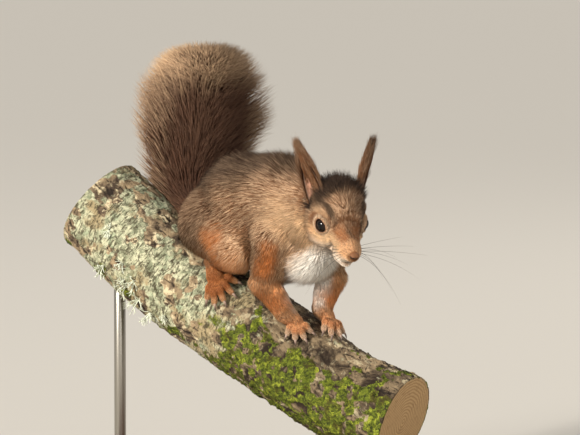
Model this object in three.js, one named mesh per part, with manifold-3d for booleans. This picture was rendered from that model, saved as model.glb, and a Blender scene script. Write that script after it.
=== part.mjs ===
// A life-size Eurasian red squirrel, standing head down on a sloping length of branch that two rods
// hold over a flat wooden base. Units are millimetres, +Z is up and the display faces -Y.
// The origin is the centre of the base's underside. The animal's solids reach to the tips of its coat.
import * as THREE from "three";
import { mergeVertices } from "three/addons/utils/BufferGeometryUtils.js";
import Module from "manifold-3d";

const wasm = await Module();
wasm.setup();

const V = (x, y, z) => new THREE.Vector3(x, y, z);
const lerp = THREE.MathUtils.lerp;
const radians = THREE.MathUtils.degToRad;
const GAP = 0.4; // left between neighbours, so that no two solids share a face
const SEAM = 1.6; // the same between the coat-deep lengths of the body, whose facets are coarse

// ---------------------------------------------------------------- driving dimensions

const BASE = { length: 236, width: 150, height: 18, corner: 22, bevel: 2.5 };
const ROD_RADIUS = 4;
const ROD_STATIONS = { stand_rod_rear: 46, stand_rod_front: 222 }; // along the branch, from its upper end
const BRANCH_RADIUS = { upper: 34.5, lower: 31.5 };
const BRANCH_KNOBBLE = 0.9; // how far the bark swells and sinks
const BRANCH_LINE = [V(-110, 66, 200), V(-55, 34, 152), V(20, -9, 103), V(57, -30, 80), V(95, -52, 66)];

const HEAD_TURN = -68; // degrees from +X, seen from above
const HEAD_PITCH = 30; // degrees nose down
const EYES_MIDDLE = V(54.6, -65.6, 198.3);
const EYE = { radius: 4.9, out: 13.4 };
const EAR = { height: 32, halfWidth: 7.2, depth: 4.5, wall: 2.3, tuft: 15.5 };

// Joints and coat-deep radii of the animal.
const SPINE = [
  { at: V(-22, 20, 196), radius: 31 }, // pelvis
  { at: V(-7, 2, 207.5), radius: 31.5 }, // loin
  { at: V(12, -13, 209.5), radius: 30.5 }, // ribs
  { at: V(25, -25, 204), radius: 28 }, // withers
];
const BELLY = [
  { at: V(-15, 13, 188), radius: 27 },
  { at: V(4, -3, 184), radius: 26.5 },
  { at: V(22, -21, 180), radius: 26 },
  { at: V(33, -33, 177), radius: 22 }, // breast
];
const NECK = [
  { at: V(25, -27, 202), radius: 25.5 },
  { at: V(37, -42, 201), radius: 22.5 },
  { at: V(46, -52, 202), radius: 18.5 },
];
const TAIL = [
  { at: V(-36, 34, 190), radius: 14 },
  { at: V(-47, 52, 192), radius: 12.5 },
  { at: V(-52, 66, 206), radius: 14.5 },
  { at: V(-45.5, 75, 231), radius: 22.5 },
  { at: V(-40.5, 76, 254), radius: 27.4 },
  { at: V(-39, 71, 274), radius: 26.4 },
  { at: V(-38.5, 63, 289.5), radius: 22 },
];
const TAIL_FAN = { across: V(0.9, 0.436, 0), spread: 1.76 }; // the tail is combed out flat to its sides
const ARM_RADII = { shoulder: 16.5, elbow: 12, wrist: 6.8 };
const ARMS = {
  right: { shoulder: V(9, -38, 185), elbow: V(3.5, -29, 157), wrist: V(16.5, -32, 136) },
  left: { shoulder: V(40, -19, 184), elbow: V(47, -12, 158), wrist: V(41.5, -15, 137) },
};
const LEG_RADII = { hip: 25, knee: 15, ankle: 7.2 };
const LEGS = {
  right: { hip: V(-33.5, 6, 190.5), knee: V(-17, -17, 175), ankle: V(-30, -5, 168) },
  left: { hip: V(-8, 35, 190.5), knee: V(5, 27, 176), ankle: V(-6, 36, 166.5) },
};

// Feet grip the branch: [station along it, degrees round it from its top towards the front].
const FOREFOOT_SIZE = { palm: 6.2, toe: 2.7, tip: 2.1, claw: 1.1, clawLength: 5.5 };
const HINDFOOT_SIZE = { palm: 6.8, toe: 2.8, tip: 2.2, claw: 1.2, clawLength: 6 };
const FEET = {
  forefoot_right: {
    size: FOREFOOT_SIZE,
    palm: [179, 32],
    toes: [[180.5, 47], [186.5, 46.5], [190.5, 39.5], [190, 28]],
  },
  forefoot_left: {
    size: FOREFOOT_SIZE,
    palm: [187, -8],
    toes: [[194.5, 13.5], [200.5, 12], [203.5, 2], [200.5, -13]],
  },
  hindfoot_right: {
    size: HINDFOOT_SIZE,
    palm: [115, 44],
    toes: [[120, 65.5], [126, 65], [130, 57.5], [131, 46], [127, 32]],
  },
  hindfoot_left: {
    size: HINDFOOT_SIZE,
    palm: [128, -42],
    toes: [[136, -66], [141, -62], [144, -53], [143, -42], [138, -29]],
  },
};

// ---------------------------------------------------------------- distance fields

// Distance from a tapered bone between two { at, radius } joints.
function bone(a, b) {
  const along = b.at.clone().sub(a.at);
  const length2 = along.lengthSq();
  const from = V();
  return (p) => {
    const t = THREE.MathUtils.clamp(from.copy(p).sub(a.at).dot(along) / length2, 0, 1);
    return from.copy(a.at).addScaledVector(along, t).distanceTo(p) - lerp(a.radius, b.radius, t);
  };
}

// Distance from an ellipsoid whose radii lie along the three given axes.
function ellipsoid(centre, axes, radii) {
  const from = V();
  return (p) => {
    from.copy(p).sub(centre);
    const parts = axes.map((axis, i) => axis.dot(from) / radii[i]);
    const scaled = Math.hypot(...parts);
    const slope = Math.hypot(...parts.map((part, i) => part / radii[i]));
    return slope > 0 ? (scaled * (scaled - 1)) / slope : -Math.min(...radii);
  };
}

// The smaller of two distances, with the crease between them filled over a width of about blend.
function meld(a, b, blend) {
  const overlap = Math.max(blend - Math.abs(a - b), 0) / blend;
  return Math.min(a, b) - (overlap * overlap * blend) / 4;
}

const union = (fields, blend) => (p) => fields.map((f) => f(p)).reduce((a, b) => meld(a, b, blend));

const chain = (joints, blend = 0.1) =>
  union(joints.slice(1).map((joint, i) => bone(joints[i], joint)), blend);

// A chain whose sections are wider by spread along the across direction.
function fannedChain(joints, { across, spread }) {
  const squeeze = (v) => v.clone().addScaledVector(across, (1 / spread - 1) * v.dot(across));
  const field = chain(joints.map(({ at, radius }) => ({ at: squeeze(at), radius })), 6);
  return (p) => field(squeeze(p));
}

// Negative behind a plane, positive on the side that the normal points to.
const beyond = (point, normal) => (p) => normal.dot(p) - normal.dot(point);

// ---------------------------------------------------------------- surfaces

// The corners and edges of one cell of a grid, and its three faces that meet at corner 0, each in
// cyclic order. Corner n lies at the bits of n along x, y and z.
const CORNERS = [0, 1, 2, 3, 4, 5, 6, 7].map((n) => [n & 1, (n >> 1) & 1, n >> 2]);
const CELL_EDGES = CORNERS.flatMap((_, n) =>
  [1, 2, 4].filter((bit) => !(n & bit)).map((bit) => [n, n | bit]),
);
const CELL_FACES = [[1, 2], [2, 4], [4, 1]].map(([a, b]) => [0, a, a | b, b]);

// The zero surface of a field inside a box, as a closed mesh: each cell that it crosses has one vertex,
// and each crossed edge of the grid has one face.
function surface(field, box, cell) {
  const count = box.getSize(V()).toArray().map((length) => Math.ceil(length / cell) + 3);
  const place = (i, j, k) => box.min.clone().addScaledVector(V(i - 1, j - 1, k - 1), cell);
  const index = (i, j, k) => (k * count[1] + j) * count[0] + i;
  const grid = [];
  for (let k = 0; k < count[2]; k++)
    for (let j = 0; j < count[1]; j++) for (let i = 0; i < count[0]; i++) grid.push([i, j, k]);
  const onRim = (at) => at.some((n, axis) => n === 0 || n === count[axis] - 1);
  const values = grid.map((at) => Math.max(field(place(...at)), onRim(at) ? cell / 2 : -Infinity));
  const cellAt = ([i, j, k]) => CORNERS.map(([a, b, c]) => index(i + a, j + b, k + c));
  const cells = grid.filter((at) => at.every((n, axis) => n < count[axis] - 1));

  // Where the inside touches itself from corner to corner of a face, its shallower corner is given up.
  for (let given = true; given; ) {
    given = false;
    for (const at of cells) {
      const corners = cellAt(at);
      for (const face of CELL_FACES) {
        const [a, b, c, d] = face.map((n) => corners[n]);
        const inside = [a, b, c, d].map((n) => values[n] < 0);
        if (inside[0] !== inside[2] || inside[1] !== inside[3] || inside[0] === inside[1]) continue;
        const [m, n] = inside[0] ? [a, c] : [b, d];
        values[values[m] > values[n] ? m : n] = cell / 100;
        given = true;
      }
    }
  }

  const positions = [];
  const vertexOf = new Map();
  for (const at of cells) {
    const depth = cellAt(at).map((n) => values[n]);
    const crossed = CELL_EDGES.filter(([m, n]) => depth[m] < 0 !== depth[n] < 0);
    if (!crossed.length) continue;
    const sum = V();
    for (const [m, n] of crossed)
      sum.add(V(...CORNERS[m]).lerp(V(...CORNERS[n]), depth[m] / (depth[m] - depth[n])));
    vertexOf.set(index(...at), positions.length / 3);
    positions.push(...place(...at).addScaledVector(sum, cell / crossed.length));
  }

  const faces = [];
  for (const at of cells)
    for (let axis = 0; axis < 3; axis++) {
      const inside = values[index(...at)] < 0;
      const ahead = at.map((n, i) => n + (i === axis));
      if (inside === values[index(...ahead)] < 0) continue;
      const [u, v] = [(axis + 1) % 3, (axis + 2) % 3];
      const around = [[0, 0], [1, 0], [1, 1], [0, 1]].map(([du, dv]) =>
        vertexOf.get(index(...at.map((n, i) => n - du * (i === u) - dv * (i === v)))),
      );
      const [a, b, c, d] = inside ? around : around.reverse();
      faces.push(a, b, c, a, c, d);
    }
  const geometry = new THREE.BufferGeometry();
  geometry.setAttribute("position", new THREE.Float32BufferAttribute(positions, 3));
  geometry.setIndex(faces);
  return geometry;
}

// A closed skin over rings of the same number of points, with a fan on each end.
function loft(rings) {
  const sides = rings[0].length;
  const middle = (ring) => ring.reduce((sum, p) => sum.add(p), V()).divideScalar(sides);
  const points = [...rings.flat(), middle(rings[0]), middle(rings.at(-1))];
  const faces = [];
  rings.slice(1).forEach((_, r) => {
    for (let i = 0; i < sides; i++) {
      const [a, b] = [r * sides + i, r * sides + ((i + 1) % sides)];
      faces.push(a, b, b + sides, a, b + sides, a + sides);
    }
  });
  const last = (rings.length - 1) * sides;
  for (let i = 0; i < sides; i++) {
    const next = (i + 1) % sides;
    faces.push(rings.length * sides, next, i, rings.length * sides + 1, last + i, last + next);
  }
  const geometry = new THREE.BufferGeometry().setFromPoints(points);
  geometry.setIndex(faces);
  return geometry;
}

// ---------------------------------------------------------------- solids

function solidOf(geometry) {
  const bare = geometry.clone();
  bare.deleteAttribute("normal");
  bare.deleteAttribute("uv");
  const { attributes, index } = mergeVertices(bare, 1e-4);
  const vertProperties = new Float32Array(attributes.position.array);
  const triVerts = new Uint32Array(index.array);
  return new wasm.Manifold(new wasm.Mesh({ numProp: 3, vertProperties, triVerts }));
}

function geometryOf(solid) {
  const { vertProperties, triVerts } = solid.getMesh();
  const geometry = new THREE.BufferGeometry();
  geometry.setAttribute("position", new THREE.BufferAttribute(vertProperties, 3));
  geometry.setIndex(new THREE.BufferAttribute(triVerts, 1));
  return geometry;
}

const join = (solids) => solids.reduce((a, b) => a.add(b));
const cut = (solid, cutters) => cutters.reduce((a, b) => a.subtract(b), solid);
const largest = (solid) => solid.decompose().sort((a, b) => b.volume() - a.volume())[0];

// A rounded, tapered finger between two { at, radius } joints.
function finger(a, b, sides = 6) {
  const length = a.at.distanceTo(b.at);
  const quarter = Math.PI / 2;
  const profile = [
    ...[-1, 0].map((q) => [a.radius * Math.cos(q * quarter), a.radius * Math.sin(q * quarter)]),
    ...[0, 1].map((q) => [b.radius * Math.cos(q * quarter), length + b.radius * Math.sin(q * quarter)]),
  ].map(([r, y]) => new THREE.Vector2(Math.max(r, 0), y));
  const turned = new THREE.LatheGeometry(profile, sides);
  const up = b.at.clone().sub(a.at).normalize();
  turned.applyQuaternion(new THREE.Quaternion().setFromUnitVectors(V(0, 1, 0), up));
  turned.translate(...a.at.toArray());
  return solidOf(turned);
}

// A block that fills the side of a plane that its normal points to, out to any part of the animal.
function blockBeyond(point, normal, reach = 60) {
  const block = new THREE.BoxGeometry(2 * reach, 2 * reach, reach);
  block.translate(0, 0, reach / 2);
  block.applyQuaternion(new THREE.Quaternion().setFromUnitVectors(V(0, 0, 1), normal));
  block.translate(...point.toArray());
  return solidOf(block);
}

function ball(centre, radius, [segments, rings] = [12, 8]) {
  return solidOf(new THREE.SphereGeometry(radius, segments, rings).translate(...centre.toArray()));
}

// ---------------------------------------------------------------- branch

const branchCurve = new THREE.CatmullRomCurve3(BRANCH_LINE, false, "centripetal");
const branchLength = branchCurve.getLength();

function branchRadius(station, angle) {
  const taper = lerp(BRANCH_RADIUS.upper, BRANCH_RADIUS.lower, station / branchLength);
  const swell = Math.sin(station / 19 + 2 * angle) + Math.sin(station / 31 - 3 * angle + 1);
  return taper + (BRANCH_KNOBBLE * swell) / 2;
}

// A point at a station along the branch, at an angle round it from its top towards the front,
// lifted off its bark.
function branchPoint(station, angle, lift = 0) {
  const share = THREE.MathUtils.clamp(station / branchLength, 0, 1);
  const along = branchCurve.getTangentAt(share);
  const front = V(along.y, -along.x, 0).normalize();
  const top = front.clone().cross(along);
  const radius = branchRadius(station, angle) + lift;
  return branchCurve
    .getPointAt(share)
    .addScaledVector(top, radius * Math.cos(angle))
    .addScaledVector(front, radius * Math.sin(angle));
}

function branch(lift = 0, rings = 13, sides = 20) {
  const stations = Array.from({ length: rings }, (_, i) => (i / (rings - 1)) * branchLength);
  const angles = Array.from({ length: sides }, (_, i) => (i / sides) * 2 * Math.PI);
  return solidOf(loft(stations.map((s) => angles.map((angle) => branchPoint(s, angle, lift)))));
}

const branchSolid = branch();
const branchCutter = branch(GAP);

// ---------------------------------------------------------------- head

const headForward = V(
  Math.cos(radians(HEAD_PITCH)) * Math.cos(radians(HEAD_TURN)),
  Math.cos(radians(HEAD_PITCH)) * Math.sin(radians(HEAD_TURN)),
  -Math.sin(radians(HEAD_PITCH)),
);
const headLeft = V(-Math.sin(radians(HEAD_TURN)), Math.cos(radians(HEAD_TURN)), 0);
const headUp = headForward.clone().cross(headLeft);
const headAxes = [headForward, headLeft, headUp];

// A direction, and a point, given forward, left and up from the middle between the eyes.
const headWay = (f, l, u) =>
  V().addScaledVector(headForward, f).addScaledVector(headLeft, l).addScaledVector(headUp, u);
const onHead = (f, l, u) => headWay(f, l, u).add(EYES_MIDDLE);
const joint = (at, radius) => ({ at, radius });

const headField = union(
  [
    ellipsoid(onHead(-12, 0, 5), headAxes, [21, 18.8, 21.8]), // cranium, with its crest of hair
    chain([joint(onHead(-4, 0, -2), 14.2), joint(onHead(16, 0, -6.5), 8)]), // brow to muzzle
    chain([joint(onHead(14, 0, -7.5), 8), joint(onHead(23.5, 0, -8.2), 5.2)]), // muzzle
    chain([joint(onHead(-8, 0, -12), 9.5), joint(onHead(16.8, 0, -18.2), 4.2)]), // lower jaw
    ...[-1, 1].map((side) => ellipsoid(onHead(-4, side * 8.5, -7.5), headAxes, [11.5, 8.5, 10])), // cheeks
    // lips
    ...[-1, 1].map((side) => ellipsoid(onHead(14.5, side * 4.4, -14.6), headAxes, [6.2, 4.2, 4.8])),
    // whisker pads
    ...[-1, 1].map((side) => ellipsoid(onHead(17.5, side * 3.9, -10), headAxes, [5.5, 4, 4.2])),
  ],
  4,
);

const NOSE = { centre: onHead(27.2, 0, -6.6), radii: [2.7, 3.1, 2.5] };

function nose(grow = 0) {
  const pad = new THREE.SphereGeometry(1, 12, 7);
  pad.scale(...NOSE.radii.map((radius) => radius + grow));
  pad.applyMatrix4(new THREE.Matrix4().makeBasis(...headAxes));
  return solidOf(pad.translate(...NOSE.centre.toArray()));
}

const eyeCentre = (side) => onHead(0, side * EYE.out, 0);

// One ear: a scooped blade that closes into a solid pencil of long hair. It rises along up from the
// head, opens towards open, and bends back at its tip.
function ear(side) {
  const root = onHead(-12.9, side * 14.3, 6);
  const up = headWay(-0.51, side * 0.28, 0.81).normalize();
  const open = headWay(0.55, side * 0.82, 0.1);
  const outer = open.addScaledVector(up, -open.dot(up)).normalize();
  const across = outer.clone().cross(up);
  const back = headWay(-1, side * 0.35, 0);
  const total = EAR.height + EAR.tuft;
  const arc = [-1, -0.6, -0.2, 0.2, 0.6, 1].map((share) => share * radians(78));
  const rise = [0, 0.12, 0.26, 0.4, 0.53, 0.65, 0.8, 1];
  const width = [0.55, 0.86, 1, 0.97, 0.78, 0.5, 0.3, 0.07];
  const wallShare = [1, 0.85, 0.65, 0.6, 0.75, 1, 1, 1]; // 1 is solid right through
  const rings = rise.map((t, i) => {
    const halfWidth = EAR.halfWidth * width[i];
    const depth = EAR.depth * (0.35 + 0.65 * width[i]) * (t > 0.55 ? 0.75 : 1);
    const wall = Math.min(EAR.wall, halfWidth * 0.8);
    const middle = root
      .clone()
      .addScaledVector(up, total * t)
      .addScaledVector(back, 5 * Math.max(t - 0.35, 0) ** 1.5);
    const place = (w, n) => middle.clone().addScaledVector(across, w).addScaledVector(outer, n);
    const shell = arc.map((a) => place(halfWidth * Math.sin(a), -depth * Math.cos(a)));
    const hollow = 1 - wallShare[i];
    const inside = arc
      .slice(1, -1)
      .reverse()
      .map((a) =>
        place((halfWidth - wall * 0.6) * Math.sin(a), -(depth - wall) * Math.cos(a) * hollow * 1.6),
      );
    return [...shell, ...inside];
  });
  return solidOf(loft(rings));
}

// ---------------------------------------------------------------- body

const armChain = ({ shoulder, elbow, wrist }) =>
  chain(
    [joint(shoulder, ARM_RADII.shoulder), joint(elbow, ARM_RADII.elbow), joint(wrist, ARM_RADII.wrist)],
    3,
  );
const legChain = ({ hip, knee, ankle }) =>
  chain([joint(hip, LEG_RADII.hip), joint(knee, LEG_RADII.knee), joint(ankle, LEG_RADII.ankle)], 3);

const groups = {
  trunk: union([chain(SPINE, 4), chain(BELLY, 4)], 14),
  neck: chain(NECK),
  head: headField,
  tail: fannedChain(TAIL, TAIL_FAN),
  arm_right: armChain(ARMS.right),
  arm_left: armChain(ARMS.left),
  leg_right: legChain(LEGS.right),
  leg_left: legChain(LEGS.left),
};
const COAT_BLEND = 7;
const wholeAnimal = union(Object.values(groups), COAT_BLEND);

// Where the coat is pressed on the branch, it stops short of the bark.
const branchField = chain(
  Array.from({ length: 11 }, (_, i) =>
    joint(branchCurve.getPointAt(i / 10), BRANCH_RADIUS.upper + BRANCH_KNOBBLE),
  ),
);
const offBranch = (p) => SEAM / 2 - branchField(p);

const RIM = 2; // the edges between the animal's lengths are rounded over about this width

// The share of the whole animal that is nearest to one group of bones, inside optional planes.
function share(group, planes = []) {
  const own = groups[group];
  const others = Object.keys(groups).filter((name) => name !== group).map((name) => groups[name]);
  return (p) => {
    const nearer = (own(p) - Math.min(...others.map((f) => f(p))) + SEAM) / 2;
    const limits = [wholeAnimal(p), nearer, offBranch(p), ...planes.map((plane) => plane(p) + SEAM / 2)];
    return limits.reduce((a, b) => -meld(-a, -b, RIM));
  };
}

const boxOf = (joints, margin = 1) =>
  new THREE.Box3().setFromPoints(
    joints.flatMap(({ at, radius }) => [1, -1].map((s) => at.clone().addScalar(s * (radius + margin)))),
  );

const fleshSolid = (field, joints, cell, margin) =>
  largest(solidOf(surface(field, boxOf(joints, margin), cell)));

// The plane that halves a bend, with its normal pointing along the limb.
function bend(before, at, after) {
  const normal = at.clone().sub(before).normalize().add(after.clone().sub(at).normalize()).normalize();
  return { at, normal };
}
const upTo = ({ at, normal }) => beyond(at, normal);
const from = ({ at, normal }) => beyond(at, normal.clone().negate());

function limbParts({ group, upper, lower, joints, radii, cells, end }) {
  const [a, b, c] = joints;
  const middle = bend(a, b, c);
  return {
    [upper]: fleshSolid(share(group, [upTo(middle)]), [joint(a, radii[0]), joint(b, radii[1])], cells[0], 5),
    [lower]: fleshSolid(
      share(group, [from(middle), upTo(end)]),
      [joint(b, radii[1]), joint(c, radii[2])],
      cells[1],
      5,
    ),
  };
}

// A foot on the branch: a palm from the last joint of its limb, and bent toes that end in claws.
function foot({ size, palm, toes }, limbEnd, limbRadius) {
  const at = (station, degrees, lift) => branchPoint(station, radians(degrees), lift);
  const palmCentre = at(...palm, size.palm * 0.8);
  const start = limbEnd.at.clone().addScaledVector(limbEnd.normal, -3);
  const solids = [finger(joint(start, limbRadius), joint(palmCentre, size.palm), 10)];
  for (const [station, degrees] of toes) {
    const between = (t) => [lerp(palm[0], station, t), lerp(palm[1], degrees, t)];
    const way = Math.hypot(station - palm[0], radians(degrees - palm[1]) * BRANCH_RADIUS.upper);
    const root = joint(at(...between(0.22), size.palm * 0.8), size.toe);
    const knuckle = joint(at(...between(0.62), size.toe + 2.4), size.toe);
    const tip = joint(at(...between(1), size.tip + 0.7), size.tip);
    const clawEnd = joint(at(...between(1 + size.clawLength / way), 0.9), 0.4);
    solids.push(finger(root, knuckle), finger(knuckle, tip), finger(joint(tip.at, size.claw), clawEnd, 5));
  }
  const behind = blockBeyond(
    limbEnd.at.clone().addScaledVector(limbEnd.normal, GAP / 2),
    limbEnd.normal.clone().negate(),
  );
  return largest(cut(join(solids), [behind, branchCutter]));
}

// Where a limb hands over to its foot: a plane across the limb's lower bone.
function limbEndOf(above, end, toFoot) {
  const normal = end.clone().sub(above).normalize().add(toFoot.clone().sub(end).normalize()).normalize();
  return { at: end, normal };
}

function animal() {
  const parts = {};
  const eyeSockets = [-1, 1].map((side) => ball(eyeCentre(side), EYE.radius + GAP));
  const headBox = [joint(onHead(-14, 0, -2), 25), joint(onHead(20, 0, -8), 12)];
  const wholeHead = fleshSolid(share("head"), headBox, 4.7, 2);
  parts.head = cut(wholeHead, [nose(GAP), ...eyeSockets]);
  const grownAnimal = (p) => wholeAnimal(p) - GAP;
  const headCutter = fleshSolid(grownAnimal, headBox, 4, 2);
  parts.nose = nose();
  parts.eye_right = ball(eyeCentre(-1), EYE.radius);
  parts.eye_left = ball(eyeCentre(1), EYE.radius);
  parts.ear_right = largest(ear(-1).subtract(headCutter));
  parts.ear_left = largest(ear(1).subtract(headCutter));

  parts.neck = fleshSolid(share("neck"), NECK, 6.5, 4);
  parts.trunk = fleshSolid(share("trunk"), [...SPINE, ...BELLY], 9, 4);

  const tailJoints = (first, last) =>
    TAIL.slice(first, last + 1).map(({ at, radius }) => joint(at, radius * 1.75));
  const tailCuts = [2, 4].map((i) => bend(TAIL[i - 1].at, TAIL[i].at, TAIL[i + 1].at));
  parts.tail_root = fleshSolid(share("tail", [upTo(tailCuts[0])]), tailJoints(0, 3), 7);
  parts.tail_middle = fleshSolid(share("tail", [from(tailCuts[0]), upTo(tailCuts[1])]), tailJoints(1, 5), 9);
  parts.tail_tip = fleshSolid(share("tail", [from(tailCuts[1])]), tailJoints(3, 6), 9.6);

  for (const side of ["right", "left"]) {
    const { shoulder, elbow, wrist } = ARMS[side];
    const { hip, knee, ankle } = LEGS[side];
    const forefoot = FEET[`forefoot_${side}`];
    const hindfoot = FEET[`hindfoot_${side}`];
    const palmOf = ({ palm, size }) => branchPoint(palm[0], radians(palm[1]), size.palm * 0.8);
    const wristEnd = limbEndOf(elbow, wrist, palmOf(forefoot));
    const ankleEnd = limbEndOf(knee, ankle, palmOf(hindfoot));
    Object.assign(
      parts,
      limbParts({
        group: `arm_${side}`,
        upper: `upper_arm_${side}`,
        lower: `forearm_${side}`,
        joints: [shoulder, elbow, wrist],
        radii: [ARM_RADII.shoulder, ARM_RADII.elbow, ARM_RADII.wrist],
        cells: [6, 4.4],
        end: wristEnd,
      }),
      limbParts({
        group: `leg_${side}`,
        upper: `thigh_${side}`,
        lower: `shank_${side}`,
        joints: [hip, knee, ankle],
        radii: [LEG_RADII.hip, LEG_RADII.knee, LEG_RADII.ankle],
        cells: [7, 5],
        end: ankleEnd,
      }),
    );
    parts[`forefoot_${side}`] = foot(forefoot, wristEnd, ARM_RADII.wrist);
    parts[`hindfoot_${side}`] = foot(hindfoot, ankleEnd, LEG_RADII.ankle);
  }
  return parts;
}

// ---------------------------------------------------------------- stand

function base() {
  const { length, width, height, corner, bevel } = BASE;
  const [x, y] = [length / 2 - bevel - corner, width / 2 - bevel - corner];
  const outline = new THREE.Shape();
  outline.absarc(x, y, corner, 0, Math.PI / 2);
  outline.absarc(-x, y, corner, Math.PI / 2, Math.PI);
  outline.absarc(-x, -y, corner, Math.PI, 1.5 * Math.PI);
  outline.absarc(x, -y, corner, 1.5 * Math.PI, 2 * Math.PI);
  const options = {
    depth: height - bevel,
    bevelThickness: bevel,
    bevelSize: bevel,
    bevelSegments: 1,
    curveSegments: 5,
  };
  const board = solidOf(new THREE.ExtrudeGeometry(outline, options));
  return board.subtract(blockBeyond(V(0, 0, 0), V(0, 0, -1), 300));
}

// An upright rod from just over the base to the underside of the branch.
function rod(station) {
  const { x, y, z } = branchPoint(station, Math.PI);
  const top = z + BRANCH_RADIUS.upper / 2;
  const bottom = BASE.height + GAP;
  const post = new THREE.CylinderGeometry(ROD_RADIUS, ROD_RADIUS, top - bottom, 16);
  post.rotateX(Math.PI / 2).translate(x, y, (top + bottom) / 2);
  return largest(solidOf(post).subtract(branchCutter));
}

// ---------------------------------------------------------------- scene

const finish = (color, roughness, metalness = 0) =>
  new THREE.MeshStandardMaterial({ color, roughness, metalness });
const MATERIALS = {
  coat: finish(0x5b4433, 0.9),
  tail: finish(0x4a372b, 0.95),
  limb: finish(0xa8602c, 0.9),
  foot: finish(0xc06f33, 0.85),
  ear: finish(0x4c3324, 0.9),
  nose: finish(0x4d3833, 0.5),
  eye: finish(0x0a0706, 0.08),
  bark: finish(0x7d7a66, 0.95),
  board: finish(0x4a2d1c, 0.45),
  rod: finish(0x8d8a84, 0.35, 1),
};
const MATERIAL_OF = [
  [/^tail/, "tail"],
  [/^(upper_arm|forearm|shank)/, "limb"],
  [/foot/, "foot"],
  [/^ear/, "ear"],
  [/^nose/, "nose"],
  [/^eye/, "eye"],
  [/^perch/, "bark"],
  [/^stand_base/, "board"],
  [/^stand_rod/, "rod"],
  [/./, "coat"],
];

function mesh(name, solid) {
  const [, material] = MATERIAL_OF.find(([pattern]) => pattern.test(name));
  const made = new THREE.Mesh(geometryOf(solid), MATERIALS[material]);
  made.name = name;
  return made;
}

const squirrel = new THREE.Group();
squirrel.name = "squirrel";
for (const [name, solid] of Object.entries(animal())) squirrel.add(mesh(name, solid));

const stand = new THREE.Group();
stand.name = "stand";
stand.add(mesh("perch", branchSolid), mesh("stand_base", base()));
for (const [name, station] of Object.entries(ROD_STATIONS)) stand.add(mesh(name, rod(station)));

const display = new THREE.Group();
display.add(squirrel, stand);

export default display;
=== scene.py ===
"""A life-size red squirrel standing head down on a sloping branch: one skin over its whole body with a
coat of solid tufts, glass eyes, ears, claws and whiskers, on a lichened branch held by a wooden stand.
Lengths are millimetres in the part's own frame, and become metres where a mesh is made."""

import math

import bpy
import numpy as np
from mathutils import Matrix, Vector


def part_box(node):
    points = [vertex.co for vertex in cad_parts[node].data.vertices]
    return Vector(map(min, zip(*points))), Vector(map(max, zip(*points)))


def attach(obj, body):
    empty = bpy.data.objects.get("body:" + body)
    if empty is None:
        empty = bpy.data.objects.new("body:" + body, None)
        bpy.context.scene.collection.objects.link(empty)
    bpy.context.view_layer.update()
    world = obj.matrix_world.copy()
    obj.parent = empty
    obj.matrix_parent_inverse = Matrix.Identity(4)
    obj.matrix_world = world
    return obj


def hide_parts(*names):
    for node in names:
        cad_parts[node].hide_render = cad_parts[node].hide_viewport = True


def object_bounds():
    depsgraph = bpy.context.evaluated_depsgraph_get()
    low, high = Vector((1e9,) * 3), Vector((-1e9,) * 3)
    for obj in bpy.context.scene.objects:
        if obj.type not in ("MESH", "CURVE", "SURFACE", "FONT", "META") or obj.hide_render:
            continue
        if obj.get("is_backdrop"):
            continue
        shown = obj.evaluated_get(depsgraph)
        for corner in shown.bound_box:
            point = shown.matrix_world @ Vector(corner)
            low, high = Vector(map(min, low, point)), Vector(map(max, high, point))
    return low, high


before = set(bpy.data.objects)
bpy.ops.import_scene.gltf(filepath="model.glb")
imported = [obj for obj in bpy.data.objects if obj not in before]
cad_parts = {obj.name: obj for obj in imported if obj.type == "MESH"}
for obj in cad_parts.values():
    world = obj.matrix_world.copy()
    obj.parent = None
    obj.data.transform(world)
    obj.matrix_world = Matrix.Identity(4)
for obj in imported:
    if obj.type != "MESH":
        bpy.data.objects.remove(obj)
cad_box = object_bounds()

MM = 0.001
SIDES = {"right": -1, "left": 1}
rng = np.random.default_rng(20)


# ---------------------------------------------------------------- small sums


def vec(*parts):
    return np.array(parts, dtype=float)


def unit(v):
    return v / np.maximum(np.linalg.norm(v, axis=-1, keepdims=True), 1e-9)


def lerp(a, b, t):
    return a + (b - a) * t


def ramp(x, low, high):
    """0 below low, 1 above high, and a soft step between."""
    t = np.clip((x - low) / (high - low), 0, 1)
    return t * t * (3 - 2 * t)


def noise(p, seed=0):
    """Smooth noise from -1 to 1 over space, one unit between its lattice points."""
    cell = np.floor(p).astype(np.int64)
    f = p - cell
    f = f * f * (3 - 2 * f)
    total = np.zeros(len(p))
    for corner in range(8):
        step = np.array([corner & 1, (corner >> 1) & 1, corner >> 2])
        at = cell + step
        mix = at[:, 0] * 73856093 ^ at[:, 1] * 19349663 ^ at[:, 2] * 83492791 ^ (seed * 6542989 + 91)
        mix = (mix ^ (mix >> 13)) * 1274126177 & 0x7FFFFFFF
        value = ((mix ^ (mix >> 16)) & 0xFFFF) / 32767.5 - 1
        total += value * np.prod(np.where(step, f, 1 - f), axis=1)
    return total


def cloudy(p, octaves=3, seed=0):
    return sum(noise(p * 2**i, seed + i) / 2**i for i in range(octaves))


def three_noises(p, *seeds):
    return np.stack([noise(p, seed) for seed in seeds], axis=1)


# ---------------------------------------------------------------- measures of the animal


def joints(*rows):
    """Joints of a limb: place, radius out to the coat's tips, and depth of the coat there."""
    return [(vec(x, y, z), radius, coat) for x, y, z, radius, coat in rows]


HEAD_TURN, HEAD_PITCH = math.radians(-68), math.radians(30)
EYES_MIDDLE = vec(54.6, -65.6, 198.3)
EYE_RADIUS, EYE_OUT = 4.9, 13.4
EYE_AXIS = (0.4, 1.0, 0.08)  # each eye looks forward and out
LID_RADIUS, LID_OPENING, LID_DEPTH = 5.45, 3.75, 1.4
EYE_COAT = 1.4  # depth of the coat close round the eyes
NOSE_AT = vec(27.2, 0, -6.6)

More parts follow.
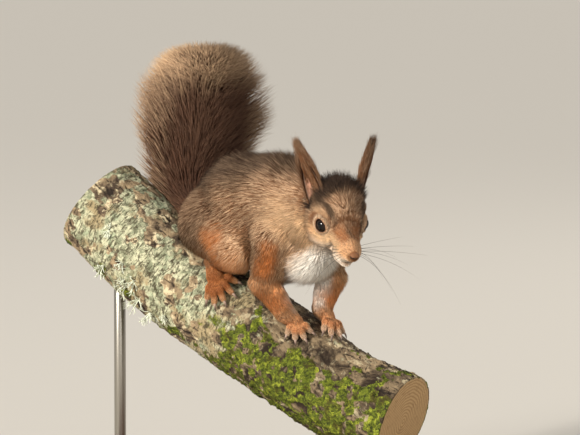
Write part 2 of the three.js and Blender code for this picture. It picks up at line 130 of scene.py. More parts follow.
SPINE = joints(
    (-22, 20, 196, 31, 8), (-7, 2, 207.5, 31.5, 8), (12, -13, 209.5, 30.5, 7.5), (25, -25, 204, 28, 7)
)
BELLY = joints((-15, 13, 188, 27, 8), (4, -3, 184, 26.5, 8), (22, -21, 180, 26, 8), (33, -33, 177, 22, 7))
NECK = joints((25, -27, 202, 25.5, 6.5), (37, -42, 201, 22.5, 6), (46, -52, 202, 18.5, 5))
TAIL = joints(
    (-36, 34, 190, 14, 6), (-47, 52, 192, 12.5, 6.5), (-52, 66, 206, 14.5, 9.5), (-45.5, 75, 231, 22.5, 18),
    (-40.5, 76, 254, 27.4, 23.4), (-39, 71, 274, 26.4, 23), (-38.5, 63, 289.5, 22, 19.5),
)
TAIL_ACROSS, TAIL_SPREAD = vec(0.9, 0.436, 0), 1.76  # the tail is combed out flat to its sides
ARMS = {
    "right": joints((9, -38, 185, 16.5, 5.5), (3.5, -29, 157, 12, 4), (16.5, -32, 136, 6.8, 1.5)),
    "left": joints((40, -19, 184, 16.5, 5.5), (47, -12, 158, 12, 4), (41.5, -15, 137, 6.8, 1.5)),
}
LEGS = {
    "right": joints((-33.5, 6, 190.5, 25, 7.5), (-17, -17, 175, 15, 5), (-30, -5, 168, 7.2, 1.6)),
    "left": joints((-8, 35, 190.5, 25, 7.5), (5, 27, 176, 15, 5), (-6, 36, 166.5, 7.2, 1.6)),
}
PALM_COAT, TOE_COAT, ANKLE_COAT = 0.9, 0.55, 1.1
FOREFOOT = {"palm": 6.2, "toe": 2.7, "tip": 2.1, "claw": 1.1, "claw_length": 5.5}
HINDFOOT = {"palm": 6.8, "toe": 2.8, "tip": 2.2, "claw": 1.2, "claw_length": 6}
# Feet on the branch: station along it and degrees round it, of the palm and of each toe's tip.
FEET = {
    "forefoot_right": (FOREFOOT, (179, 32), [(180.5, 47), (186.5, 46.5), (190.5, 39.5), (190, 28)]),
    "forefoot_left": (FOREFOOT, (187, -8), [(194.5, 13.5), (200.5, 12), (203.5, 2), (200.5, -13)]),
    "hindfoot_right": (HINDFOOT, (115, 44), [(120, 65.5), (126, 65), (130, 57.5), (131, 46), (127, 32)]),
    "hindfoot_left": (HINDFOOT, (128, -42), [(136, -66), (141, -62), (144, -53), (143, -42), (138, -29)]),
}
BRANCH_RADIUS, BRANCH_KNOBBLE = (34.5, 31.5), 0.9
BRANCH_COURSE = [(-110, 66, 200), (-55, 34, 152), (20, -9, 103), (57, -30, 80), (95, -52, 66)]

# ---------------------------------------------------------------- branch line


def smooth_line(points, steps=400):
    """A centripetal Catmull-Rom line through the points."""
    ends = [2 * points[0] - points[1], *points, 2 * points[-1] - points[-2]]
    last = len(points) - 2
    line = []
    for i in range(last + 1):
        x0, x1, x2, x3 = ends[i : i + 4]
        d0, d1, d2 = (math.sqrt(np.linalg.norm(b - a)) for a, b in ((x0, x1), (x1, x2), (x2, x3)))
        if i == 0:
            d0 = d1
        if i == last:
            d2 = d1
        m1 = ((x1 - x0) / d0 - (x2 - x0) / (d0 + d1) + (x2 - x1) / d1) * d1
        m2 = ((x2 - x1) / d1 - (x3 - x1) / (d1 + d2) + (x3 - x2) / d2) * d1
        t = np.linspace(0, 1, steps, endpoint=i == last)[:, None]
        line.append(x1 + m1 * t + (3 * (x2 - x1) - 2 * m1 - m2) * t**2 + (2 * (x1 - x2) + m1 + m2) * t**3)
    return np.concatenate(line)


branch_curve = smooth_line(np.array(BRANCH_COURSE, float))
branch_stations = np.concatenate([[0], np.cumsum(np.linalg.norm(np.diff(branch_curve, axis=0), axis=1))])
BRANCH_LENGTH = branch_stations[-1]


def on_line(station):
    return np.stack([np.interp(station, branch_stations, branch_curve[:, i]) for i in range(3)], axis=-1)


def branch_frame(station):
    """The branch's line, its top and its front at each station."""
    along = unit(on_line(np.minimum(station + 0.5, BRANCH_LENGTH)) - on_line(np.maximum(station - 0.5, 0)))
    front = unit(np.stack([along[..., 1], -along[..., 0], 0 * along[..., 0]], axis=-1))
    return on_line(station), np.cross(front, along), front


def branch_point(station, degrees, lift=0.0):
    station, angle = np.asarray(station, float), np.radians(degrees)
    swell = np.sin(station / 19 + 2 * angle) + np.sin(station / 31 - 3 * angle + 1)
    radius = lerp(*BRANCH_RADIUS, station / BRANCH_LENGTH) + BRANCH_KNOBBLE * swell / 2 + lift
    middle, top, front = branch_frame(station)
    return middle + (radius * np.cos(angle))[..., None] * top + (radius * np.sin(angle))[..., None] * front


# ---------------------------------------------------------------- head frame

level = math.cos(HEAD_PITCH)
head_forward = vec(level * math.cos(HEAD_TURN), level * math.sin(HEAD_TURN), -math.sin(HEAD_PITCH))
head_left = vec(-math.sin(HEAD_TURN), math.cos(HEAD_TURN), 0)
head_axes = np.stack([head_forward, head_left, np.cross(head_forward, head_left)])


def head_way(forward, left, up):
    return vec(forward, left, up) @ head_axes


def on_head(forward, left, up):
    return head_way(forward, left, up) + EYES_MIDDLE


def in_head(p):
    """Forward, left and up from the middle between the eyes."""
    return (p - EYES_MIDDLE) @ head_axes.T


def one_side(local):
    """The head's two sides laid on each other: forward, out and up."""
    return np.stack([local[:, 0], np.abs(local[:, 1]), local[:, 2]], axis=1)


def eye_axes(side):
    out = unit(head_way(EYE_AXIS[0], side * EYE_AXIS[1], EYE_AXIS[2]))
    up = unit(head_axes[2] - out * (head_axes[2] @ out))
    return out, np.cross(out, up) * side, up


def eye_middle(side):
    return on_head(0, side * EYE_OUT, 0)


def opening_of(from_eye, ahead, up):
    """How far each place lies from the middle of the lids' almond opening."""
    forward, high = from_eye @ ahead, from_eye @ up
    return np.hypot(forward / 1.12, high + 0.14 * forward)


# ---------------------------------------------------------------- distance fields
# A field takes points and a share of the coat, 0 on the skin and 1 out at the coat's tips.


def bone(a, b):
    (pa, ra, ca), (pb, rb, cb) = a, b
    along = pb - pa

    def field(p, coat):
        t = np.clip((p - pa) @ along / (along @ along), 0, 1)
        radius = lerp(ra, rb, t) - (1 - coat) * lerp(ca, cb, t)
        return np.linalg.norm(p - pa - t[:, None] * along, axis=1) - radius

    return field


def bare_bone(a, b, radius=0.0, end=None):
    """A bone with no coat, between two places."""
    field = bone((vec(*a), radius, 0), (vec(*b), radius if end is None else end, 0))
    return lambda p: field(p, 1)


def from_lines(p, lines):
    """How far each place is from the nearest of some straight lines."""
    return np.min([bare_bone(*line)(p) for line in lines], axis=0)


def ellipsoid(centre, radii, depth):
    def field(p, coat):
        size = vec(*radii) - (1 - coat) * depth
        parts = (p - centre) @ head_axes.T / size
        scaled = np.linalg.norm(parts, axis=1)
        slope = np.linalg.norm(parts / size, axis=1)
        return scaled * (scaled - 1) / np.maximum(slope, 1e-6)

    return field


def meld(a, b, blend):
    overlap = np.maximum(blend - np.abs(a - b), 0) / blend
    return np.minimum(a, b) - overlap * overlap * blend / 4


def carve(a, cutter, blend):
    return -meld(-a, cutter, blend)


def union(fields, blend):
    def field(p, coat):
        total = fields[0](p, coat)
        for other in fields[1:]:
            total = meld(total, other(p, coat), blend)
        return total

    return field


def chain(places, blend=0.1):
    return union([bone(a, b) for a, b in zip(places, places[1:])], blend)


def tail_field():
    core = chain([(at, radius - coat, 0) for at, radius, coat in TAIL], 4)
    pinch = lambda v: v + (1 / TAIL_SPREAD - 1) * (v @ TAIL_ACROSS)[..., None] * TAIL_ACROSS
    fan = chain([(pinch(at), radius, 0) for at, radius, _ in TAIL], 6)
    return lambda p, coat: core(p, 0) if coat < 0.5 else fan(pinch(p), 1)


head_forms = [
    ellipsoid(on_head(-12, 0, 5), [21, 18.8, 21.8], vec(4.5, 4.5, 4.6)),
    bone((on_head(-4, 0, -2), 14.2, 3), (on_head(16, 0, -6.5), 8, 1.6)),
    bone((on_head(14, 0, -7.5), 8, 1.6), (on_head(23.5, 0, -8.2), 5.2, 0.9)),
    bone((on_head(-8, 0, -12), 9.5, 3), (on_head(16.8, 0, -18.2), 4.2, 1.1)),
    *[ellipsoid(on_head(-4, s * 8.5, -7.5), [11.5, 8.5, 10], 2.8) for s in SIDES.values()],
    *[ellipsoid(on_head(17.5, s * 3.9, -10), [5.5, 4, 4.2], 0.9) for s in SIDES.values()],
    *[ellipsoid(on_head(14.5, s * 4.4, -14.6), [6.2, 4.2, 4.8], 1.0) for s in SIDES.values()],
]
groups = {
    "trunk": union([chain(SPINE, 4), chain(BELLY, 4)], 14),
    "neck": chain(NECK),
    "head": union(head_forms, 4),
    "tail": tail_field(),
    **{f"arm_{side}": chain(limb, 3) for side, limb in ARMS.items()},
    **{f"leg_{side}": chain(limb, 3) for side, limb in LEGS.items()},
}


def foot_joints(name):
    """A foot's bones from the ankle to the palm, and each toe's root, knuckle, tip and claw's end."""
    size, palm, toes = FEET[name]
    ankle = (ARMS if name.startswith("fore") else LEGS)[name.split("_")[1]][2]
    centre = branch_point(*palm, size["palm"] * 0.8)
    instep = (lerp(ankle[0], centre, 0.5), ankle[1] * 0.86, ANKLE_COAT)
    bones = [ankle, instep, (centre, size["palm"] * 0.9, PALM_COAT)]
    fingers = []
    for station, degrees in toes:
        way = math.hypot(station - palm[0], math.radians(degrees - palm[1]) * BRANCH_RADIUS[0])
        at = lambda t, lift: branch_point(lerp(palm[0], station, t), lerp(palm[1], degrees, t), lift)
        fingers.append(
            [
                (at(0.22, size["palm"] * 0.8), size["toe"], TOE_COAT),
                (at(0.62, size["toe"] + 2.4), size["toe"], TOE_COAT),
                (at(1, size["tip"] + 0.7), size["tip"], TOE_COAT),
                (at(1 + size["claw_length"] / way, 0.9), 0.4, 0),
            ]
        )
    return bones, fingers


feet = {name: foot_joints(name) for name in FEET}
TOE_BLEND = 1.3
foot_fields = {}
for name, (bones, fingers) in feet.items():
    lines = [bones, *[finger[:3] for finger in fingers]]
    foot_fields[name] = union([bone(a, b) for line in lines for a, b in zip(line, line[1:])], TOE_BLEND)
all_fingers = [finger for _, fingers in feet.values() for finger in fingers]
COAT_BLEND, SKIN_BLEND, FOOT_BLEND = 7, 12, 2.5


def body(p, coat):
    """The whole animal, without its ears, claws and nose pad."""
    total = groups["trunk"](p, coat)
    for name, group in groups.items():
        if name != "trunk":
            total = meld(total, group(p, coat), lerp(SKIN_BLEND, COAT_BLEND, coat))
    for foot in foot_fields.values():
        total = meld(total, foot(p, coat), FOOT_BLEND)
    return total


HEAD_REACH = 42  # nothing of the face lies farther from the middle between the eyes
LIP_RADII, LIP_BLEND = (0.9, 0.75), 1.1


def skin_field(p):
    """The skin, with lids round the eyes, a cleft lip and the line of the mouth."""
    d = body(p, 0)
    near_head = np.linalg.norm(p - EYES_MIDDLE, axis=1) < HEAD_REACH
    q = p[near_head]
    if not len(q):
        return d
    h = d[near_head]
    for side in SIDES.values():
        centre = eye_middle(side)
        out, ahead, up = eye_axes(side)
        from_eye = q - centre
        reach = np.linalg.norm(from_eye, axis=1)
        h = lerp(body(q, 1) + EYE_COAT, h, ramp(reach, 6, 15))
        h = meld(h, reach - LID_RADIUS, 3.5)
        opening = opening_of(from_eye, ahead, up) - LID_OPENING
        h = carve(h, np.maximum(opening, LID_DEPTH - from_eye @ out), 0.6)
        corner = centre + 3.4 * ahead + 3.4 * out - 0.8 * up
        duct = bare_bone(corner, centre + 5.0 * ahead + 2.9 * out - 1.8 * up, 0.55, 0.3)
        h = carve(h, duct(q), 0.4)
    local = in_head(q)
    for line in MOUTH:
        h = carve(h, bare_bone(*line, *LIP_RADII)(one_side(local)), LIP_BLEND)
    cleft = bare_bone((26.5, 0, -9), (23.4, 0, -13.6), 0.4, 0.6)
    d[near_head] = carve(h, cleft(local), 1.2)
    return d


# ---------------------------------------------------------------- surfaces

CORNERS = np.array([(n & 1, (n >> 1) & 1, n >> 2) for n in range(8)])
CELL_EDGES = [(n, n | bit) for n in range(8) for bit in (1, 2, 4) if not n & bit]
BLOCK = 8  # cells along the side of a block, which is left out where it is far from the surface


def grid_of(*counts):
    return np.stack(np.meshgrid(*[np.arange(n) for n in counts], indexing="ij"), axis=-1).reshape(-1, 3)


def surface_of(field, low, high, cell):
    """The zero surface of a field inside a box, as points and triangles, worked out only near it."""
    low = np.asarray(low, float)
    blocks = np.ceil((np.asarray(high) - low) / (cell * BLOCK)).astype(int)
    starts = grid_of(*blocks)
    rough = field(low + (starts + 0.5) * BLOCK * cell)
    values = rough.reshape(blocks)
    for axis in range(3):
        values = np.repeat(values, BLOCK, axis)
    near = starts[np.abs(rough) < BLOCK * cell * 1.15]
    for part in np.array_split(near, max(1, len(near) // 400)):
        at = (part[:, None, :] * BLOCK + grid_of(BLOCK, BLOCK, BLOCK)[None]).reshape(-1, 3)
        values[tuple(at.T)] = field(low + at * cell)

    inside = values < 0
    size = np.array(values.shape) - 1
    shifted = lambda array, corner: array[tuple(slice(c, c + n) for c, n in zip(corner, size))]
    count = sum(shifted(inside, corner).astype(np.int8) for corner in CORNERS)
    cells = np.argwhere((count > 0) & (count < 8))
    number = np.full(tuple(size), -1)
    number[tuple(cells.T)] = np.arange(len(cells))
    total, crossings = np.zeros((len(cells), 3)), np.zeros(len(cells))
    depth = [values[tuple((cells + corner).T)] for corner in CORNERS]
    for m, n in CELL_EDGES:
        crossed = (depth[m] < 0) != (depth[n] < 0)
        t = (depth[m] / np.where(crossed, depth[m] - depth[n], 1))[:, None]
        total += np.where(crossed[:, None], lerp(CORNERS[m], CORNERS[n], t), 0)
        crossings += crossed
    points = low + (cells + total / crossings[:, None]) * cell

    faces = []
    for axis in range(3):
        ahead, u, v = np.roll(np.eye(3, dtype=int), -axis, axis=0)
        here = inside[tuple(slice(1, n) for n in size)]
        there = inside[tuple(slice(1 + a, n + a) for a, n in zip(ahead, size))]
        edges = np.argwhere(here != there) + 1
        quads = np.stack([number[tuple((edges - s).T)] for s in (0 * u, u, u + v, v)], axis=1)
        turned = ~inside[tuple(edges.T)]
        quads[turned] = quads[turned][:, ::-1]
        faces.append(quads)
    quads = np.concatenate(faces)
    return points, np.concatenate([quads[:, [0, 1, 2]], quads[:, [0, 2, 3]]])


def refined(points, faces, chosen):
    """Halves every edge of the chosen triangles, and splits their neighbours to match."""
    edges = np.sort(faces[:, [[0, 1], [1, 2], [2, 0]]], axis=2)
    keys = edges[..., 0] * len(points) + edges[..., 1]
    halved = np.unique(keys[chosen])
    place = np.minimum(np.searchsorted(halved, keys), len(halved) - 1)
    has = halved[place] == keys
    middle = len(points) + place
    count = has.sum(axis=1)
    made = [faces[count == 0]]

    def split(*triangles):
        made.extend(np.stack(corners, axis=1) for corners in triangles)

    a, b, c = faces[count == 3].T
    ab, bc, ca = middle[count == 3].T
    split((a, ab, ca), (ab, b, bc), (ca, bc, c), (ab, bc, ca))
    for edge in range(3):
        order = [edge, (edge + 1) % 3, (edge + 2) % 3]
        two = (count == 2) & ~has[:, edge]
        a, b, c = faces[two][:, order].T
        bc, ca = middle[two][:, order[1]], middle[two][:, order[2]]
        split((c, ca, bc), (a, b, bc), (a, bc, ca))
        one = (count == 1) & has[:, edge]
        a, b, c = faces[one][:, order].T
        ab = middle[one][:, edge]
        split((a, ab, c), (ab, b, c))
    new = (points[halved // len(points)] + points[halved % len(points)]) / 2
    return np.concatenate([points, new]), np.concatenate(made)


def slope_of(field, p, step=0.15):
    """The outward direction of a field at each point."""
    ways = np.eye(3) * step
    return unit(np.stack([field(p + way) - field(p - way) for way in ways], axis=1))


def settled(field, points, reach):
    """The points moved onto the field's zero surface, each no further than reach."""
    depth = field(points)
    return points - np.clip(depth, -reach, reach)[:, None] * slope_of(field, points)


def point_normals(points, faces):
    a, b, c = (points[faces[:, i]] for i in range(3))
    normal = np.cross(b - a, c - a)
    total = np.zeros_like(points)
    for i in range(3):
        np.add.at(total, faces[:, i], normal)
    return unit(total)


# The mouth's line on the head's left side, and the slit below each ear, at four depths.
MOUTH_COURSE = [
    (20.6, 0, -17.3), (20.2, 2.5, -17.2), (19.4, 4.2, -17.2), (17.9, 6.4, -17.0), (15.9, 7.8, -16.2),
]
mouth_line = np.array([on_head(*place) for place in MOUTH_COURSE])
for reach in (2, 1):
    mouth_line = settled(lambda p: body(p, 0), mouth_line, reach)
mouth_line = in_head(mouth_line)
MOUTH = list(zip(mouth_line, mouth_line[1:]))
CANAL = [((-19.2, depth, 7.4), (-15.2, depth + 0.4, 4.2)) for depth in (21, 18.5, 16, 13.5)]

# ---------------------------------------------------------------- lie of the coat
# Each length of bone combs the coat near it: how its hair runs, how steeply it stands in degrees,
# how long and how wide its tufts may be, how many roots it has to the square millimetre, and how
# much it hangs.

COMB = {
    "trunk": {"stand": 25, "longest": 13, "width": 0.56, "crowd": 3.1, "droop": 0.35},
    "neck": {"stand": 27, "longest": 12.5, "width": 0.48, "crowd": 4.9, "droop": 0.45},
    "head": {"stand": 22, "longest": 6.5, "width": 0.32, "crowd": 8.6, "droop": 0},
    "tail": {"stand": 48, "longest": 70, "width": 0.74, "crowd": 10.1, "droop": 0},
    "arm": {"stand": 22, "longest": 8, "width": 0.5, "crowd": 3.4, "droop": 0},
    "leg": {"stand": 23, "longest": 9.5, "width": 0.56, "crowd": 3.0, "droop": 0.1},
    "foot": {"stand": 17, "longest": 2.4, "width": 0.27, "crowd": 6.2, "droop": 0},
}
GROUPS = list(COMB)
HIP_HEIGHT, THIGH_WAY = 185, vec(-0.5, 0.25, -1)  # the thigh's coat runs back and down, with the trunk's
COMB_REACH = 2.5

combed = []  # (group, field of one bone, its way)
for name, line in [
    ("trunk", SPINE[::-1]), ("trunk", BELLY[::-1]), ("neck", NECK[::-1]), ("tail", TAIL),
    *[("arm", limb) for limb in ARMS.values()], *[("leg", limb) for limb in LEGS.values()],
    *[("foot", bones) for bones, _ in feet.values()], *[("foot", finger[:3]) for finger in all_fingers],
]:
    bare = [(at, radius - coat, 0) for at, radius, coat in line]
    for a, b in zip(bare, bare[1:]):
        hip = name == "leg" and a[0][2] > HIP_HEIGHT
        combed.append((name, bone(a, b), unit(THIGH_WAY if hip else b[0] - a[0])))
combed += [("head", form, -head_forward) for form in head_forms]


def lie_of_coat(p):
    """The comb's direction at each point, and its share of each group of bones."""
    depths = np.stack([field(p, 0) for _, field, _ in combed], axis=1)
    nearness = np.exp(-(depths - depths.min(axis=1, keepdims=True)) / COMB_REACH)
    nearness /= nearness.sum(axis=1, keepdims=True)
    ways = np.stack([way - vec(0, 0, COMB[name]["droop"]) for name, _, way in combed])
    shares = [nearness[:, [name == group for name, *_ in combed]].sum(axis=1) for group in GROUPS]
    return unit(nearness @ ways), np.stack(shares, axis=1)


# ---------------------------------------------------------------- markings and painted shade
# Soft patches of colour, each a length between two places with a radius and the width of its edge.


def patch(p, a, b, radius, edge):
    return 1 - ramp(bare_bone(a, b, radius)(p), -edge / 2, edge / 2)


def most(*shares):
    return np.max(shares, axis=0)


# painted shade: the slit below the ear, which is not cut into the skin, is painted dark
CANAL_SHADE = (1.2, 2.0)  # the slit below the ear is dark inside, and plain outside
# radius and edge of the painted shade along the mouth's crease
MOUTH_SHADE = (1.0, 0.7)
TOE_PADS = [lerp(knuckle[0], tip[0], 0.85) for _, knuckle, tip, _ in all_fingers]


def markings_and_shade(p, shares):
    """White, rufous, dark, buff, bare and tail shares of the coat's colour at each point; the dark share
    also holds painted shade.
    """
    share = dict(zip(GROUPS, shares.T))
    wavy = p + 2.2 * np.stack([cloudy(p / 7, 2, seed) for seed in (1, 2, 3)], axis=1)
    x, _, height = wavy.T
    f, _, u = in_head(wavy).T
    sides = one_side(in_head(wavy))
    face = lambda a, b, radius, edge: share["head"] * patch(sides, a, b, radius, edge)
    head = share["head"] + share["neck"]
    fore = ramp(p[:, 0] + 0.3 * p[:, 1], -8, 2)
    low_arm = share["arm"] * (1 - ramp(height, 146, 172))
    low_leg = share["leg"] * (1 - ramp(height, 162, 186))
    pad_reach = np.min([np.linalg.norm(p - pad, axis=1) for pad in TOE_PADS], axis=0)
    pale_toes = share["foot"] * (1 - ramp(pad_reach, 2.2, 4.6))

    white = (1 - share["tail"]) * most(
        patch(wavy, (44, -52, 168), (35, -38, 154), 17, 13),
        patch(wavy, (34, -30, 156), (-2, 6, 152), 15, 8),
        patch(wavy, (37, -27, 166), (37, -25, 146), 8.5, 8),
        patch(wavy, (-6, 14, 160), (-12, 20, 164), 8, 6),
        head * (1 - ramp(u, -23, -17.5)) * ramp(f, -20, -4),
        0.7 * share["head"] * (1 - ramp(u, -14.5, -11.5)) * ramp(f, 8, 15),
    )
    white = most(white, 0.25 * fore * pale_toes, 0.45 * share["head"] * ramp(-u, 7, 13) * ramp(f, -16, -6))
    rufous = most(
        0.55 * share["foot"],
        0.92 * low_arm,
        0.7 * low_leg,
        0.85 * patch(wavy, (8, -50, 181), (2, -42, 168), 6, 10),
        0.65 * patch(wavy, (-28, -16, 189), (-24, -24, 166), 6, 12),
        0.5 * patch(wavy, (22, -54, 176), (17, -50, 166), 7, 12),
    )
    rufous *= 1 - lerp(0.3, 0.7, fore) * pale_toes
    rufous = most(
        rufous,
        0.375 * face((12.5, 5, 0.5), (17, 5, -2), 3.2, 5.5),
        0.275 * face((-6, 18, -10), (2, 16, -13), 3.5, 7),
        0.25 * share["head"] * ramp(f, 14, 19) * ramp(u, -13, -9),
    )
    dark = most(
        # the back and neck darken towards the top: partly the coat's own darker back, partly painted shade
        0.95 * ramp(height + 0.2 * wavy[:, 1], 203, 225) * (share["trunk"] + share["neck"]),
        head * ramp(u, 5, 12) * ramp(-f, -2, 6),
        0.2 * share["head"] * ramp(u, 6, 14),
        0.9 * face((-10, 13, 13.5), (2, 10.5, 11), 3.0, 3.5),
        0.95 * face((2, 10.5, 11), (8.5, 7.8, 2.5), 2.6, 3),
        0.7 * face((8.5, 7.8, 2.5), (11, 7.2, -1), 1.6, 3),
        0.5 * face((10, 0, 8), (14, 0, 4), 3.0, 5),
        # painted shadow: the rear of the haunch and flank is darkened where a shadow fell across it
        0.6 * (share["leg"] + share["trunk"]) * ramp(-x + 0.3 * (height - 190), 16, 40),
        # painted shade: the hind feet and the lower hind legs are darkened
        (1 - fore) * (0.6 * share["foot"] + 0.35 * low_leg),
    )
    buff = most(
        share["head"] * ramp(-u, 0, 7) * ramp(f, -28, -14),
        0.55 * face((-4, 16, 7), (3, 15, 6.5), 2, 5),
        0.8 * share["head"] * ramp(f, 15, 21),
        0.8 * face((12, 9, -8), (4, 14, -9), 3.5, 5),
        (0.75 * share["neck"] + 0.1 * share["trunk"]) * ramp(-u, -4, 6) * ramp(f, -46, -30),
        0.8 * pale_toes,
        0.95 * low_arm,
        0.8 * share["foot"] * fore,
        (0.5 * share["trunk"] + 0.3 * share["leg"]) * (1 - ramp(height, 168, 200)) * ramp(x, -30, -12),
    )
    # painted shade in the slit below the ear
    canal_shade = head * (1 - ramp(from_lines(sides, CANAL), *CANAL_SHADE))
    dark, white, buff = np.maximum(dark, canal_shade), white * (1 - canal_shade), buff * (1 - canal_shade)
    for side in SIDES.values():
        from_eye = p - eye_middle(side)
        out, ahead, up = eye_axes(side)
        ring = opening_of(from_eye, ahead, up)
        outward = ramp(from_eye @ out, -3.5, -0.5)
        cream = outward * ramp(ring, 4.0, 4.3) * (1 - ramp(ring, 4.9 - 0.4 * np.sign(from_eye @ up), 6.1))
        white = np.maximum(white, 0.15 * cream)
        buff = np.maximum(buff, 0.65 * cream)
        dark = np.where(cream > 0.5, dark * 0.15, dark)
        lid = outward * (1 - ramp(ring, 3.95, 4.25))
        white, buff = white * (1 - lid), buff * (1 - lid)
        corner = patch(p, on_head(4.2, side * 14, -1.5), on_head(6.2, side * 12.6, -2.5), 0.5, 1.2)
        dark = most(dark, lid, 0.9 * share["head"] * corner)
    # painted shade along the crease of the mouth, on the skin and the tufts
    mouth = most(*[patch(one_side(in_head(p)), a, b, *MOUTH_SHADE) for a, b in MOUTH])
    dark = np.maximum(dark, mouth)
    white, buff, rufous = white * (1 - mouth), buff * (1 - mouth), rufous * (1 - mouth)
    bare = share["head"] * ramp(f, 25, 26.5) * (1 - mouth)
    return np.stack([white, rufous, dark, np.minimum(buff, 1.3), bare, share["tail"]], axis=1)


# ---------------------------------------------------------------- meshes


def add_mesh(name, points, faces, material, *, smooth=True, values=None, uv=None, slot=None, replaces=()):
    """A piece that rides on the stand's own body. Values are named numbers, or triples, at its points."""
    mesh = bpy.data.meshes.new(name)
    points = np.asarray(points, np.float32) * MM
    faces = np.asarray(faces, np.int32)
    mesh.vertices.add(len(points))
    mesh.vertices.foreach_set("co", points.ravel())
    mesh.loops.add(faces.size)
    mesh.loops.foreach_set("vertex_index", faces.ravel())
    mesh.polygons.add(len(faces))
    mesh.polygons.foreach_set("loop_start", np.arange(0, faces.size, faces.shape[1], dtype=np.int32))
    mesh.update(calc_edges=True)
    if smooth:
        mesh.shade_smooth()
    for key, numbers in (values or {}).items():
        kind, socket = ("FLOAT", "value") if numbers.ndim == 1 else ("FLOAT_VECTOR", "vector")
        made = mesh.attributes.new(key, kind, "POINT")
        made.data.foreach_set(socket, np.asarray(numbers, np.float32).ravel())
    if uv is not None:
        layer = mesh.uv_layers.new(name="OFBake")
        layer.data.foreach_set("uv", np.asarray(uv, np.float32).ravel())
    mesh.validate()
    piece = bpy.data.objects.new(name, mesh)
    bpy.context.scene.collection.objects.link(piece)
    mesh.materials.append(material)
    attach(piece, "root")
    if replaces:
        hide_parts(*replaces)


def planar_uv(points, faces):
    """A box unwrap of a small piece: its triangles laid out by the side that they face."""
    low, size = points.min(axis=0), np.ptp(points, axis=0).max()
    corners = (points[faces] - low) / size
    a, b, c = points[faces].transpose(1, 0, 2)
    normal = np.cross(b - a, c - a)
    axis = np.abs(normal).argmax(axis=1)
    front = np.take_along_axis(normal, axis[:, None], 1)[:, 0] > 0
    every = np.arange(len(faces))
    uv = np.stack([corners[every, :, (axis + step) % 3] for step in (1, 2)], axis=-1)
    return (uv * 0.96 + 0.02 + np.stack([axis, front * 1.0], axis=1)[:, None]) / vec(3, 2)


class Loose:
    """Gathers points and triangles of many small things into one mesh, with named values at its points."""

    def __init__(self):
        self.points, self.faces, self.values, self.count = [], [], {}, 0

    def add(self, points, faces, **values):
        self.points.append(points)
        self.faces.append(faces + self.count)
        self.count += len(points)
        for key, value in values.items():
            self.values.setdefault(key, []).append(value)

    def piece(self, name, material, unwrap=False, **options):
        points, faces = np.concatenate(self.points), np.concatenate(self.faces)
        values = {key: np.concatenate(parts) for key, parts in self.values.items()}
        uv = planar_uv(points, faces) if unwrap else None
        add_mesh(name, points, faces, material, values=values, uv=uv, **options)


def ring_faces(rings, sides):
    """Triangles between rings of points, and of a fan at each end to the two points that follow them."""
    r, s = np.meshgrid(np.arange(rings - 1), np.arange(sides), indexing="ij")
    a, b = (r * sides + s).ravel(), (r * sides + (s + 1) % sides).ravel()
    s = np.arange(sides)
    after = (s + 1) % sides
    last, centre = (rings - 1) * sides, np.full(sides, rings * sides)
    walls = [(a, b + sides, b), (a, a + sides, b + sides)]
    fans = [(centre, s, after), (centre + 1, last + after, last + s)]
    return np.concatenate([np.stack(corners, axis=1) for corners in walls + fans])


def tube(line, radii, sides=8, flat=1.0, up=vec(0, 0, 1)):
    """A tapering tube along a line, closed by a fan at each end."""
    line = np.asarray(line, float)
    along = unit(np.gradient(line, axis=0))
    across = unit(np.cross(along, up))
    over = np.cross(across, along)
    angle = np.linspace(0, 2 * np.pi, sides, endpoint=False)[None, :, None]
    round_line = np.cos(angle) * across[:, None] + flat * np.sin(angle) * over[:, None]
    rings = line[:, None] + np.asarray(radii)[:, None, None] * round_line
    return np.concatenate([rings.reshape(-1, 3), line[:1], line[-1:]]), ring_faces(len(line), sides)


def along_tube(t, sides):
    """A tube's own share of its length at each of its points."""
    return np.concatenate([np.repeat(t, sides), [0, 1]])


# ---------------------------------------------------------------- tufts

TUFT_RINGS = {1: [(0.35, 1.0)], 2: [(0.28, 0.85), (0.66, 0.75)]}  # share of the length, and of the width
TUFT_FLATNESS, TUFT_SINK = 0.55, 0.4


def along_tuft(roots, starts, ends, lengths, t):
    return roots + (lengths * t)[:, None] * lerp(starts, ends, t / 2)


def tufts(roots, normals, starts, ends, lengths, widths, rings):
    """Closed, flattened, bending spindles, each of two end points and one or two rings of three."""
    side = unit(np.cross(starts, normals) + 1e-4)
    stations = TUFT_RINGS[rings]
    parts = [roots - TUFT_SINK * normals]
    for t, share in stations:
        middle = along_tuft(roots, starts, ends, lengths, t)
        flat = unit(np.cross(side, lerp(starts, ends, t)))
        for angle in np.radians([90, 210, 330]):
            around = math.cos(angle) * side + TUFT_FLATNESS * math.sin(angle) * flat
            parts.append(middle + (widths * share / 2)[:, None] * around)
    parts.append(along_tuft(roots, starts, ends, lengths, 1.0))
    points = np.stack(parts, axis=1)
    across = points.shape[1]
    faces = []
    for k in range(3):
        a, b = 1 + k, 1 + (k + 1) % 3
        faces.append((0, b, a))
        if rings == 2:
            faces += [(a, b, b + 3), (a, b + 3, a + 3)]
        faces.append((a + 3 * (rings - 1), b + 3 * (rings - 1), across - 1))
    along = np.array([0, *[t for t, _ in stations for _ in range(3)], 1])
    faces = np.array(faces)[None] + (np.arange(len(roots)) * across)[:, None, None]
    return points.reshape(-1, 3), faces.reshape(-1, 3), np.tile(along, len(roots)), across


